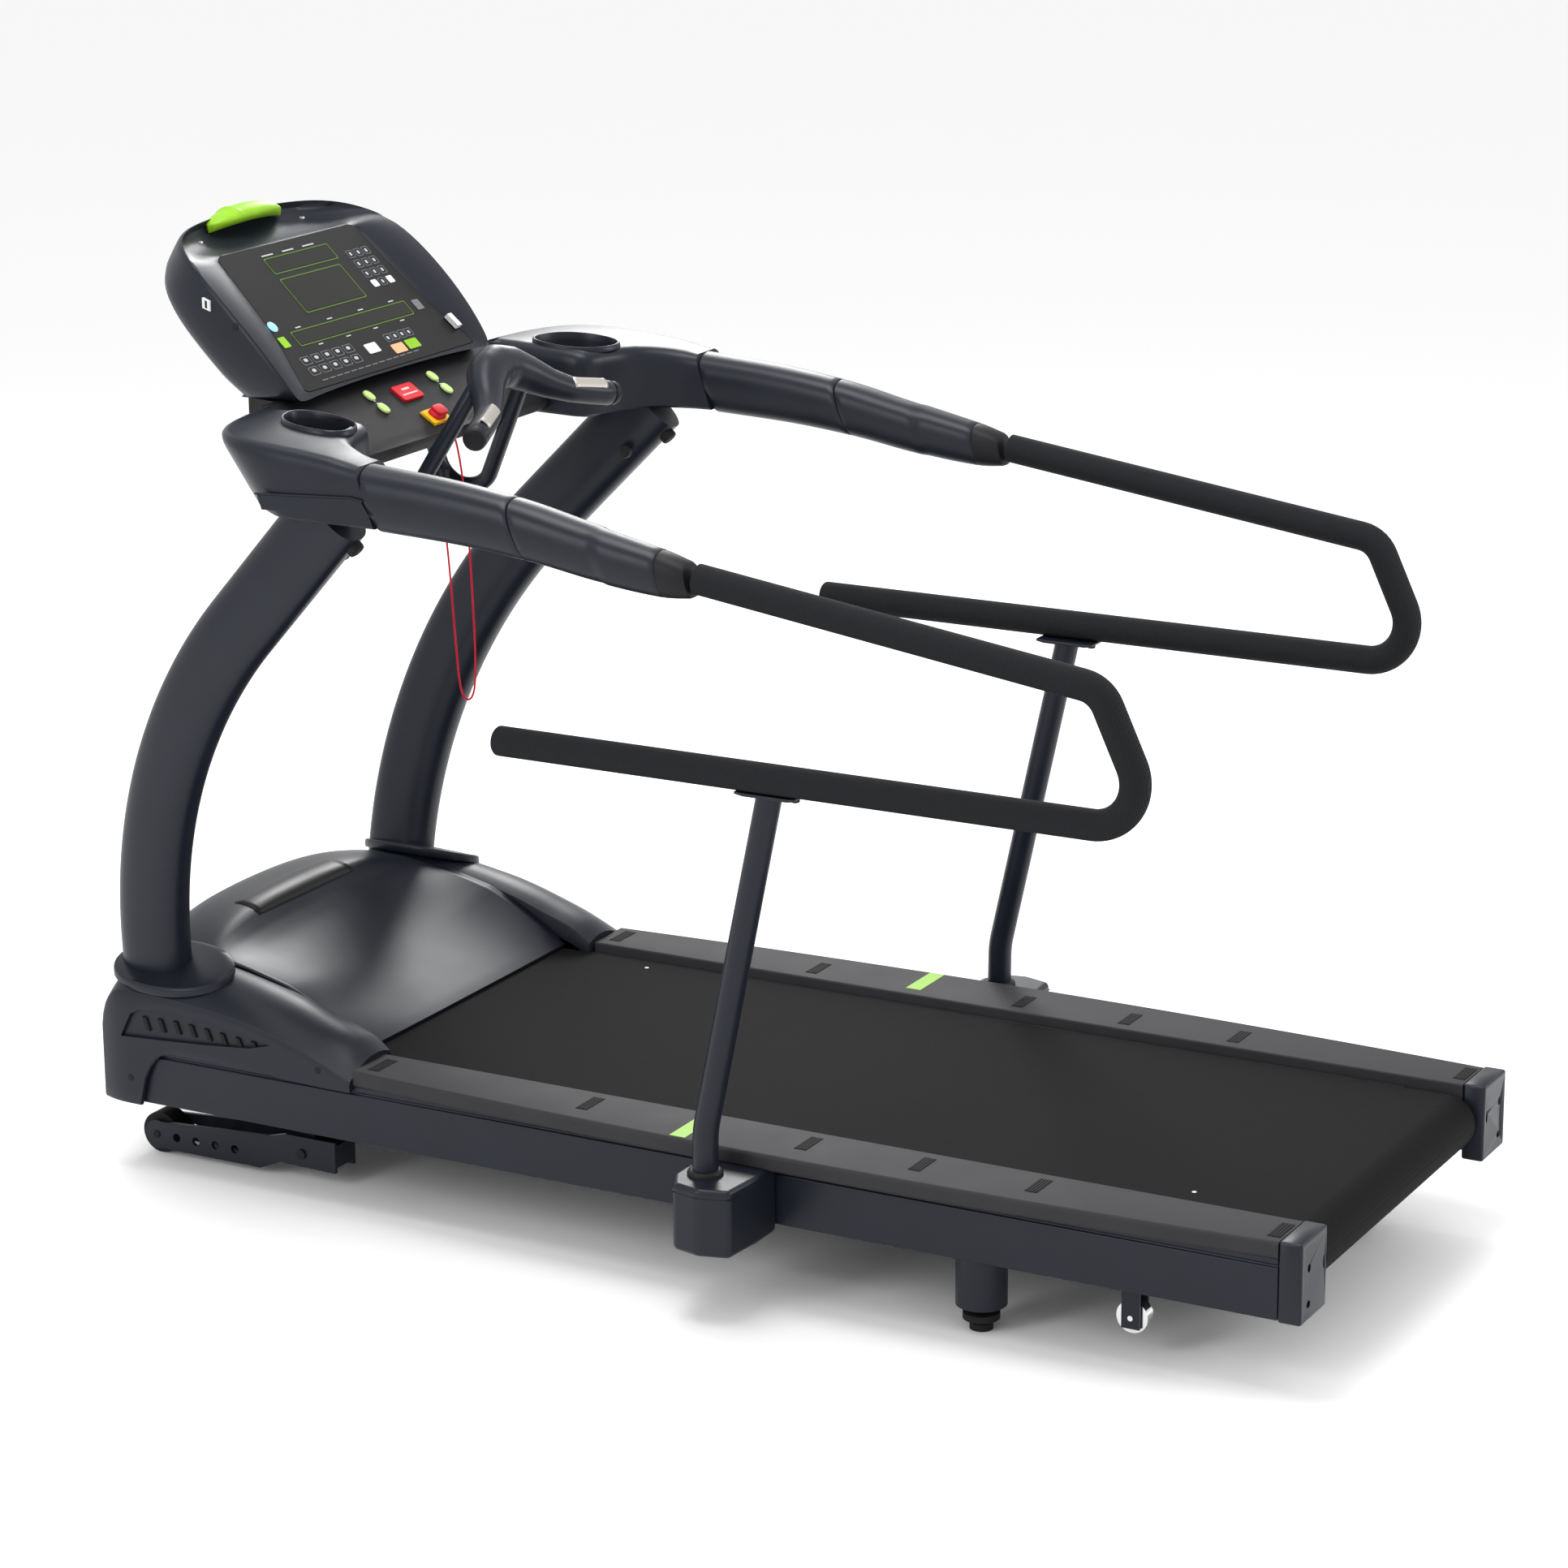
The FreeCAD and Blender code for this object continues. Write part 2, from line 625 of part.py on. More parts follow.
# ---------------------------------------------------------------- hood


def hood():
    """The front shroud: a bent centre panel between two moulded side shells."""
    outer = [(516, 228), (640, 280), (760, 322), (880, 350), (960, 352), (1010, 330), (1024, 270), (1025, 120)]
    inner = [
        (519, 225.5), (642, 276), (762, 318), (881, 346), (958, 348), (1006, 327.5), (1020, 269), (1021, 120)
    ]
    panel = extruded("hood_panel", "YZ", outer + inner[::-1], "2 * 296", "-296")
    inlet_way = box("hood_inlet_way", "-240.2", "1000", "149.8", "80.4", "40", "34.4")
    keep("hood_top", cut("hood_top", panel, inlet_way))
    crest = [
        (516, 196),
        (516, 232),
        (640, 286),
        (760, 322),
        (850, 336),
        (945, 336),
        (978, 304),
        (986, 230),
        (986, 118),
    ]
    arch = [(925, 118), (900, 150), (880, 190), (840, 206, 866, 201)]
    room_outline = [(512, 100), (512, 227), (640, 281), (760, 317.5), (850, 331.5), (943, 331.5)]
    room_outline += [(974, 302), (981.5, 230), (981.5, 100)]
    slot_top = [226 + 3 * n if n < 6 else 242 for n in range(9)]
    for side, sign in SIDES:
        shell = extruded(f"hood_shell_{side}", "YZ", crest + arch, "114.7", "296.3" if sign > 0 else "-411")
        low = 290 if sign > 0 else -407
        room = Part.Face(Part.Wire(outline_edges(room_outline, low))).extrude(V(117, 0, 0))
        centre = V(sign * (size("column_x") + 4), size("column_y") - 2, 300)
        column_way = Part.Face(oval(centre, V(1, 0, 0), V(0, 1, 0), 46, 68)).extrude(V(0, 0, 60))
        slot_x = 400 if sign > 0 else -420
        slots = [Part.makeBox(20, 7, 22, V(slot_x, 690 + 24 * n, z)) for n, z in enumerate(slot_top)]
        tools = feature(f"hood_room_{side}", room.multiFuse([column_way] + slots))
        keep(f"hood_side_{side}", cut(f"hood_side_{side}", shell, tools))


# ---------------------------------------------------------------- columns and arms


def column_axis(sign):
    """The column's centre line: a straight foot and one long arc, in a plane that leans outward."""
    lean = math.radians(size("column_splay"))
    up = V(sign * math.sin(lean), 0, math.cos(lean))
    foot = V(sign * (size("column_x") - 18), size("column_y") + 2, 211)
    bend = foot + up * 90
    radius, turn = size("column_radius"), math.radians(size("column_turn"))

    def on_arc(angle):
        return bend + V(0, -radius * (1 - math.cos(angle)), 0) + up * (radius * math.sin(angle))

    edges = [
        Part.LineSegment(foot, bend).toShape(),
        Part.Arc(bend, on_arc(turn / 2), on_arc(turn)).toShape(),
    ]
    end = on_arc(turn)
    heading = V(0, -math.sin(turn), 0) + up * math.cos(turn)
    edges.append(Part.LineSegment(end, end + heading * 320).toShape())
    return Part.Wire(edges), foot, up


def columns():
    for side, sign in SIDES:
        wire, foot, up = column_axis(sign)
        across = V(0, 1, 0).cross(up)
        wide, deep, wall = size("column_width") / 2, size("column_depth") / 2, size("column_wall")
        outer = wire.makePipeShell([oval(foot, across, V(0, 1, 0), wide, deep)], True, False)
        inner = wire.makePipeShell([oval(foot, across, V(0, 1, 0), wide - wall, deep - wall)], True, False)
        below = Part.makeBox(400, 900, 895, V(sign * 400 - 200, 200, 211))
        tube = outer.cut(inner).common(below)
        base = Part.makeBox(96, 115, 6, V(302 if sign > 0 else -398, size("column_y") - 60, 205))
        keep(f"column_{side}", feature(f"column_{side}", tube.fuse(base).removeSplitter()))


def column_collars():
    made = []
    for side, sign in SIDES:
        centre = V(sign * (size("column_x") + 6), size("column_y") - 30, 336)
        flange = Part.Face(oval(centre, V(1, 0, 0), V(0, 1, 0), 52, 100)).extrude(V(0, 0, 6))
        wire, foot, up = column_axis(sign)
        across = V(0, 1, 0).cross(up)
        wide, deep = size("column_width") / 2 + 1, size("column_depth") / 2 + 1
        way = wire.makePipeShell([oval(foot, across, V(0, 1, 0), wide, deep)], True, False)
        made.append(feature(f"collar_{side}", flange.cut(way)))
    return made


ARM_STATIONS = [
    (-140, 1081, 23.5, 25, 18),
    (-95, 1086, 29, 33, 22),
    (20, 1104, 34, 40, 26),
    (128, 1124, 36, 44, 28),
    (250, 1138, 38, 47, 28),
    (380, 1148, 40, 49, 28),
]


def arm_x(y):
    """The arms toe in slightly towards the rear sleeve."""
    return size("arm_x") + (y < 0) * 4


def arm_shell(sign, stations, wall=4.0):
    outer, inner = [], []
    for y, z, half_x, half_z, corner in stations:
        x = sign * arm_x(y)
        outer.append((y, z, x, half_x, half_z, corner))
        inner.append((y, z, x, half_x - wall, half_z - wall, corner - wall))
    first, last = inner[0], inner[-1]
    inner[0] = (first[0] - 1, *first[1:])
    inner[-1] = (last[0] + 1, *last[1:])
    return lofted(outer).cut(lofted(inner))


def arms():
    """Moulded covers along each handrail arm: front casing, middle and rear sleeves, and an end collar."""
    rears, middles, collars = [], [], []
    for side, sign in SIDES:
        rears.append(feature(f"arm_rear_{side}", arm_shell(sign, ARM_STATIONS[1:4])))
        middle = [(128.6, *ARM_STATIONS[3][1:]), *ARM_STATIONS[4:5], (379.8, *ARM_STATIONS[5][1:])]
        middles.append(feature(f"arm_mid_{side}", arm_shell(sign, middle)))
        ends = (ARM_STATIONS[0], (-95.4, *ARM_STATIONS[1][1:]))
        ring = lofted([(y, z, sign * arm_x(-1), *rest) for y, z, *rest in ends])
        hole = swept(handrail_wire(sign), size("rail_tube") + 0.4)
        collars.append(feature(f"arm_collar_{side}", ring.cut(hole)))
        arm_front(side, sign)
    keep("arm_rear_covers", group("arm_rear_pair", rears))
    keep("arm_mid_covers", group("arm_mid_pair", middles))
    return collars


def arm_front(side, sign):
    """The wide front casing of an arm, with the cup pocket in its inner half and a raked nose."""
    plan = [(528, 380.6), (530, 520), (512, 606, 526, 568), (446, 664, 488, 644), (302, 690)]
    plan += [(302, 505), (420, 470, 368, 494), (448, 380.6, 442, 424)]
    points = [(sign * p[0], p[1], *((sign * p[2], p[3]) if len(p) == 4 else ())) for p in plan]
    casing = extruded(f"arm_front_{side}_casing", "XY", points, "142", "1106")
    cup = cylinder(
        f"cup_pocket_{side}", "Z", f"{sign} * dims.cup_x", "dims.cup_y", "1163", "dims.cup_radius", "100"
    )
    above = [(370, 1197), (470, 1222), (560, 1240), (600, 1247), (700, 1247), (700, 1300), (370, 1300)]
    nose = [(545, 1100), (720, 1100), (720, 1250), (690, 1250), (640, 1214), (566, 1110)]
    floor = Part.Face(oval(V(sign * 457, 480, 1100), V(1, 0, 0), V(0, 1, 0), 33, 76)).extrude(V(0, 0, 20))
    room = Part.Face(Part.Wire(outline_edges([(370, 1112), (370, 1188), (505, 1200), (505, 1112)], 452)))
    tools = [
        Part.Face(Part.Wire(outline_edges(above, 250))).extrude(V(320, 0, 0)),
        Part.Face(Part.Wire(outline_edges(nose, 420))).extrude(V(150, 0, 0)),
        room.extrude(V(70, 0, 0)),
        Part.makeBox(176, 47, 30, V(300, size("cup_y") + 18.5, 1114)),
    ]
    tools = tools[0].multiFuse(tools[1:])
    if sign < 0:
        tools = tools.mirror(V(), V(1, 0, 0))
    tools = feature(f"arm_front_rooms_{side}", tools.fuse(floor))
    keep(f"arm_front_{side}", cut(f"arm_front_{side}", casing, fuse(f"arm_front_tools_{side}", [cup, tools])))


def crossbar():
    """The steel beam inside the dash that ties the two column heads together."""
    beam = box("beam_outer", "-418", "dims.cup_y + 19", "1115", "836", "46", "28")
    hollow = box("beam_inner", "-419", "dims.cup_y + 22", "1118", "838", "40", "22")
    keep("dash_beam", cut("dash_beam", beam, hollow))


HANDRAIL_TURNS = [46, 62]


def handrail_points(sign):
    x, low = sign * size("handrail_x"), size("handrail_low")
    inside = sign * size("arm_x")
    return [
        (inside, 330, 1148),
        (inside + sign * 5, -60, 1096),
        (x, -758, 1000),
        (x, -845, low),
        (x, 178, low),
    ]


def handrail_wire(sign):
    return path_wire(handrail_points(sign), (900, *HANDRAIL_TURNS))


def handrails():
    """A steel tube from inside the arm, round the rear and back along the lower run, in a foam sleeve."""
    sleeves = []
    for side, sign in SIDES:
        wire = handrail_wire(sign)
        keep(
            f"handrail_{side}",
            feature(f"handrail_{side}", swept(wire, size("rail_tube"), size("rail_tube") - 2.5)),
        )
        whole = swept(wire, size("sleeve_radius"), size("rail_tube") + 0.2)
        front_cut = Part.makeBox(400, 600, 260, V(sign * 500 - 200, -141, 950))
        saddle_gap = Part.makeBox(
            60, 92, 30, V(sign * size("handrail_x") - 30, -302, size("handrail_low") - 44)
        )
        sleeves.append(feature(f"grip_sleeve_{side}", whole.cut(front_cut).cut(saddle_gap)))
    keep("grip_sleeves", group("grip_sleeve_pair", sleeves))


def posts():
    """Leaning posts from clamps on the side rails up to saddle plates under the lower handrails."""
    brackets, tubes = [], []
    plate_z = size("handrail_low") - size("rail_tube") - 5
    for side, sign in SIDES:
        x, top_x = sign * size("post_x"), sign * (size("post_x") + 5)
        wire = path_wire([(x, -140, 150), (x, -142, 275), (top_x, -257, 810)], (160,))
        above = Part.makeBox(200, 400, 200, V(x - 100, -400, plate_z))
        tube = swept(wire, size("post_radius"), size("post_radius") - 2.5).cut(above)
        tubes.append(feature(f"post_{side}", tube))
        plan = [(401, -96), (500, -98), (535, -117), (544, -161), (530, -208), (460, -214), (401, -214)]
        lines = [
            Part.LineSegment(V(sign * a[0], a[1], 104), V(sign * b[0], b[1], 104)).toShape() for a, b in pairs(
                plan
            )
        ]
        block = Part.Face(Part.Wire(lines)).extrude(V(0, 0, 100))
        hole = Part.makeCylinder(size("post_radius") + 0.4, 80, V(x, -140, 149.5), V(0, -2, 125))
        brackets.append(feature(f"clamp_{side}", block.makeFillet(4, block.Edges).cut(hole)))
        plate = Part.makeBox(46, 88, 5, V(top_x - 23, -300, plate_z))
        bolts = [Part.makeCylinder(5, 4, V(top_x, y, plate_z - 4)) for y in (-293, -219)]
        brackets.append(feature(f"saddle_{side}", plate.multiFuse(bolts).removeSplitter()))
    keep("handrail_posts", group("handrail_post_pair", tubes))
    keep("post_brackets", group("post_bracket_set", brackets))


def pairs(points):
    return list(zip(points, points[1:] + points[:1]))


# ---------------------------------------------------------------- dash and console

# The dash top and the console face, seen from the side: low and high ends of each slope
DASH_LOW, DASH_HIGH = (574, 1143), (690, 1218)
FACE_LOW, FACE_HIGH = (667, 1218), (863, 1406)


def slope_of(low, high):
    return math.degrees(math.atan2(high[1] - low[1], high[0] - low[0]))


def on_dash(x, y, wide, deep, high, lift):
    """A box lying on the dash's sloping top at x, y, raised by lift from its surface."""
    z = DASH_LOW[1] + (y - DASH_LOW[0]) * (DASH_HIGH[1] - DASH_LOW[1]) / (DASH_HIGH[0] - DASH_LOW[0])
    return tilted_box(x, y, z, wide, deep, high, slope_of(DASH_LOW, DASH_HIGH), lift)


def dash():
    profile = [DASH_LOW, DASH_HIGH, (760, 1218), (760, 1150), (700, 1112), (596, 1112), (577, 1126)]
    panel = extruded("dash_solid", "YZ", profile, "2 * dims.dash_half", "-dims.dash_half")
    panel = fuse("dash_and_tab", [panel, box("hook_tab", "-9", "580", "1062", "18", "12", "64")])
    ways = [box("dash_beam_way", "-301", "dims.cup_y + 18.5", "1114", "602", "47", "30")]
    ways.append(feature("seat_way", on_dash(0, 594, 46.6, 32.6, 12, -8)))
    ways.append(feature("stop_way", on_dash(0, 645, 54.6, 34.6, 12, -6)))
    ways += [feature(f"rocker_way_{x}", on_dash(x, 645, 22.6, 62.6, 12, -6)) for x in (-88, 88)]
    keep("dash_panel", cut("dash_panel", panel, fuse("dash_ways", ways)))


def tilted_box(x, y, z, wide, deep, high, degrees, lift=0.0):
    """A box centred on x, y, z, its depth running up a slope of the given angle, raised off it by lift."""
    made = Part.makeBox(wide, deep, high, V(-wide / 2, -deep / 2, lift))
    made.Placement = FreeCAD.Placement(V(x, y, z), FreeCAD.Rotation(V(1, 0, 0), degrees))
    return made


def dash_keys():
    keep("stop_key", feature("stop_key", on_dash(0, 645, 54, 34, 6, -4.5)))
    for name, x in (("incline_rocker", -88), ("speed_rocker", 88)):
        keep(name, feature(name, on_dash(x, 645, 22, 62, 5.5, -4.5)))
    seat = on_dash(0, 594, 46, 32, 10, -7.9).cut(on_dash(0, 594, 30.6, 24.6, 12, -2))
    keep("safety_key_seat", feature("safety_key_seat", seat))
    key = on_dash(0, 594, 30, 24, 18, -1.9)
    keep("safety_key", feature("safety_key", key.makeFillet(2.5, key.Edges)))


def console():
    """The head: a hollow shell with raised cheeks, a sunken bezel frame and the flat control overlay."""
    half = size("console_half")
    profile = [(664, 1218), (706, 1306), (779, 1392), (835, 1454), (900, 1464), (948, 1450), (958, 1418)]
    profile += [(900, 1356), (838, 1290), (760, 1218)]
    body = extruded("console_body", "YZ", profile, "2 * dims.console_half", "-dims.console_half")
    well = [FACE_LOW, FACE_HIGH, (868, 1500), (600, 1500), (600, 1218)]
    hollow = [
        (684, 1223), (870, 1401), (880, 1455), (900, 1457), (943, 1444), (950, 1422), (895, 1362), (833, 1296)
    ]
    hollow += [(757, 1223)]
    rooms = [
        Part.Face(Part.Wire(outline_edges(well, -238))).extrude(V(476, 0, 0)),
        Part.Face(Part.Wire(outline_edges(hollow, 8 - half))).extrude(V(2 * half - 16, 0, 0)),
    ]
    keep("console_shell", cut("console_shell", body, feature("console_rooms", rooms[0].fuse(rooms[1]))))
    slope = slope_of(FACE_LOW, FACE_HIGH)
    run = math.hypot(FACE_HIGH[0] - FACE_LOW[0], FACE_HIGH[1] - FACE_LOW[1])
    middle = ((FACE_LOW[0] + FACE_HIGH[0]) / 2, (FACE_LOW[1] + FACE_HIGH[1]) / 2)
    frame = tilted_box(0, *middle, 475, run - 12, 8, slope, 0)
    window = tilted_box(0, *middle, 400.6, run - 25.4, 8, slope, 4)
    keep("console_bezel", feature("console_bezel", frame.cut(window)))
    keep("console_overlay", feature("console_overlay", tilted_box(0, *middle, 400, run - 26, 2.4, slope, 4)))
    leaf = Part.Face(oval(V(0, 922, 1440), V(1, 0, 0), V(0, 1, 0), 96, 28)).extrude(V(0, 0, 38))
    keep("console_accent", feature("console_accent", leaf.cut(console_solid_below(profile, half))))


def console_solid_below(profile, half):
    """The console's own outline as a solid, for pieces that sit on it."""
    return Part.Face(Part.Wire(outline_edges(profile, -half))).extrude(V(2 * half, 0, 0))


def power_entry():
    """The mains inlet and its rocker switch, set in the front of the hood."""
    housing = box("inlet_housing", "-240", "985", "150", "80", "39", "34")
    socket = box("inlet_socket", "-234", "1005", "155", "30", "30", "24")
    way = box("switch_way", "-196", "1003", "155", "28", "30", "24")
    keep("power_inlet", cut("power_inlet", housing, fuse("inlet_ways", [socket, way])))
    rocker = box("rocker_cap", "-195.4", "1016", "157", "26.8", "8", "20")
    spine = cylinder("rocker_spine", "X", "-195.4", "1014", "167", "5", "26.8")
    keep("power_switch", fuse("power_switch", [rocker, spine]))


def heart_rate_grip():
    """The short handlebar in front of the walker: two legs, a moulded bar and its metal contact plates."""
    legs = []
    for sign in (-1, 1):
        route = [
            (sign * 70, 471, 1245), (sign * 116, 577, 1036), (sign * 110, 640, 1010), (sign * 104, 676, 1112)
        ]
        leg = swept(path_wire(route, (40, 50)), 13)
        legs.append(leg.cut(Part.makeBox(400, 100, 200, V(-200, 600, 1111.7))))
    whole = legs[0].fuse(legs[1])
    keep("grip_legs", group("grip_leg_pair", [feature(f"grip_leg_{i}", leg) for i, leg in enumerate(legs)]))
    stations = [(-196, 398, 1176, 19), (-120, 424, 1194, 19), (-60, 466, 1224, 26), (0, 482, 1242, 30)]
    stations += [(-x, y, z, r) for x, y, z, r in stations[-2::-1]]
    rings = [oval(V(x, y, z), V(0, 0.62, 0.78), V(0, -0.78, 0.62), r, r * 1.02) for x, y, z, r in stations]
    bar = Part.makeLoft(rings, True, False).cut(whole)
    contacts = []
    for sign in (-1, 1):
        for turned in (-22, 102):
            strip = Part.makeBox(56, 16, 3, V(-28, -8, 18.2))
            turn = FreeCAD.Rotation(V(0, 0, 1), sign * -19).multiply(FreeCAD.Rotation(V(1, 0, 0), turned))
            strip.Placement = FreeCAD.Placement(V(sign * 150, 413, 1187), turn)
            contacts.append(strip)
    for strip in contacts:
        bar = bar.cut(strip)
    keep("grip_bar", feature("grip_bar", bar))
    keep(
        "grip_contacts", group("grip_contact_set", [feature(f"contact_{i}", c) for i, c in enumerate(contacts)])
    )


TETHER_ROUTE = [
    (0, 576.5, 1151),
    (0, 566, 1141),
    (0, 558, 1122),
    (1, 552, 1090),
    (2, 547, 1046),
    (3, 543, 996),
    (3, 540, 940),
    (2, 537, 882),
    (2, 535, 826),
    (1, 534, 776),
    (0, 534.5, 740),
    (-1, 539, 718),
    (-3, 547, 711),
    (-5, 555, 718),
    (-6, 560, 740),
    (-6, 563, 780),
    (-6, 567, 836),
    (-5, 571, 892),
    (-4, 576, 948),
    (-2, 582, 996),
    (0, 586, 1040),
]


def tether():
    """The red lanyard from the safety key, hanging in one long loop up to a clip on the dash's hook tab."""
    points = [V(*p) for p in TETHER_ROUTE]
    radii = []
    for before, corner, after in zip(points, points[1:], points[2:]):
        into, out = corner - before, after - corner
        half = math.acos(max(-1.0, min(1.0, (into * out) / (into.Length * out.Length)))) / 2
        radii.append(0.45 * min(into.Length, out.Length) / math.tan(half))
    print("tether radii", [round(r, 1) for r in radii])
    wire = path_wire(TETHER_ROUTE, radii)
    cord = swept(wire, size("cord_radius"))
    ideal = math.pi * size("cord_radius") ** 2 * wire.Length
    print("tether length", round(wire.Length, 1), "volume ratio", round(cord.Volume / ideal, 4))
    keep("safety_tether", feature("safety_tether", cord))
    clip = Part.makeBox(12, 20, 35, V(-6, 576, 1040)).cut(Part.makeBox(20, 12.2, 20, V(-10, 579.9, 1061.9)))
    keep("tether_clip", feature("tether_clip", clip))


def export():
    doc.recompute()
    os.makedirs("parts", exist_ok=True)
    for obj in doc.Objects:
        if "Invalid" in obj.State or "Error" in obj.State:
            raise RuntimeError(f"{obj.Label} did not build: {obj.State}")
    for label, obj in NODES.items():
        shape = obj.Shape
        if shape.isNull() or not shape.isValid() or not shape.Solids:
            raise RuntimeError(f"{label} has no valid solid")
        if min(s.Volume for s in shape.Solids) <= 0:
            raise RuntimeError(f"{label} has an empty solid")
    for old in os.listdir("parts"):
        if old.endswith(".step") and old[:-5] not in NODES:
            os.remove(os.path.join("parts", old))
    for label, obj in NODES.items():
        obj.Shape.exportStep(f"parts/{label}.step")
    print(len(NODES), "nodes")


side_rails()
frame_welded()
rollers()
belts()
running_deck()
footrails()
pads_and_markers()
motor()
lift_frame()
keep("pins_and_screws", group("pin_and_screw_set", rear_caps() + lift_pins_and_brackets()))
lift_wheels()
lift_actuator()
keep("underframe_brackets", group("underframe_bracket_set", levelling_feet() + transport_casters()))
hood()
columns()
keep("trim_collars", group("trim_collar_set", column_collars() + arms()))
crossbar()
handrails()
posts()
dash()
dash_keys()
console()
power_entry()
heart_rate_grip()
tether()
export()
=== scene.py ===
"""Looks for the medical treadmill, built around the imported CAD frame.

Row frame in metres: +Y is the walking direction (towards the console), +X the walker's right, +Z up.
"""

import math

import bmesh
import bpy
from mathutils import Matrix, Vector


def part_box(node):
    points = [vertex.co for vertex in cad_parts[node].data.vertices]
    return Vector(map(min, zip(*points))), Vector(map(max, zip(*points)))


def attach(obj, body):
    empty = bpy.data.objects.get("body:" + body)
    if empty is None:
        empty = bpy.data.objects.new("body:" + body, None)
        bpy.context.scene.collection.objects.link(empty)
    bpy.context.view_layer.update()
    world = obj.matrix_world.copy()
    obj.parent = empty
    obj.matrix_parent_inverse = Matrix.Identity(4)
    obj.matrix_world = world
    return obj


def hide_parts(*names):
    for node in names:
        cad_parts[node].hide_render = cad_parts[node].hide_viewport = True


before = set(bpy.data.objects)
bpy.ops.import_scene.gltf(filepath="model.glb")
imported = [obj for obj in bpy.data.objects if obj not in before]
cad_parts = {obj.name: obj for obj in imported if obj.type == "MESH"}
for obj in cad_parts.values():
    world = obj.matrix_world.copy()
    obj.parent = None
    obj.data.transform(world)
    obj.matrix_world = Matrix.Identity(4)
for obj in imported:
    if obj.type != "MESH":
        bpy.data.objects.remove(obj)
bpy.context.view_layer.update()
SIDES = (("left", -1), ("right", 1))

# ------------------------------------------------------------------ camera and light

CAMERA_LENS_MM, SENSOR_MM = 104.0, 36
CAMERA_PLACE = Vector((-5.755, -3.156, 2.5216))
CAMERA_AZIMUTH, CAMERA_ELEVATION, CAMERA_ROLL = (math.radians(a) for a in (-61.346, 15.947, -0.433))


def camera():
    back = Vector(
        (
            math.sin(CAMERA_AZIMUTH) * math.cos(CAMERA_ELEVATION),
            -math.cos(CAMERA_AZIMUTH) * math.cos(CAMERA_ELEVATION),
            math.sin(CAMERA_ELEVATION),
        )
    )
    right = Vector((math.cos(CAMERA_AZIMUTH), math.sin(CAMERA_AZIMUTH), 0))
    up = back.cross(right)
    c, s = math.cos(CAMERA_ROLL), math.sin(CAMERA_ROLL)
    turned_right, turned_up = right * c + up * s, up * c - right * s
    data = bpy.data.cameras.new("camera")
    data.sensor_width = SENSOR_MM
    data.lens = CAMERA_LENS_MM
    data.clip_end = 60
    made = bpy.data.objects.new("camera", data)
    axes = Matrix((turned_right, turned_up, back)).transposed().to_4x4()
    made.matrix_world = Matrix.Translation(CAMERA_PLACE) @ axes
    bpy.context.scene.collection.objects.link(made)
    bpy.context.scene.camera = made


def area_light(name, place, target, size, power):
    data = bpy.data.lights.new(name, "AREA")
    data.shape = "RECTANGLE"
    data.size, data.size_y = size
    data.energy = power
    made = bpy.data.objects.new(name, data)
    made.location = place
    made.rotation_euler = (Vector(target) - Vector(place)).to_track_quat("-Z", "Y").to_euler()
    bpy.context.scene.collection.objects.link(made)


def studio():
    world = bpy.data.worlds.new("studio")
    bpy.context.scene.world = world
    world.use_nodes = True
    background = world.node_tree.nodes["Background"]
    background.inputs["Color"].default_value = (1, 1, 1, 1)
    background.inputs["Strength"].default_value = 1.0
    area_light("overhead", (-0.4, 0.4, 4.4), (0, 0, 0.5), (2.6, 1.6), 100)
    area_light("near_side", (-4.6, 1.6, 2.6), (0, 0, 0.7), (1.4, 2.4), 70)
    area_light("behind", (2.6, -4.2, 2.6), (0, -0.2, 0.6), (2.0, 1.2), 70)
    area_light("far_side", (4.2, 2.4, 3.2), (0, 0.4, 0.9), (1.2, 2.0), 90)
    bpy.ops.mesh.primitive_plane_add(size=60, location=(0, 0, -0.001))
    floor = bpy.context.object
    floor.name = "floor"
    floor.data.materials.append(finish("floor_white", (0.93, 0.93, 0.93), 0.6))
    bpy.context.scene.view_settings.view_transform = "Standard"


# ------------------------------------------------------------------ materials

FINISHES = {}


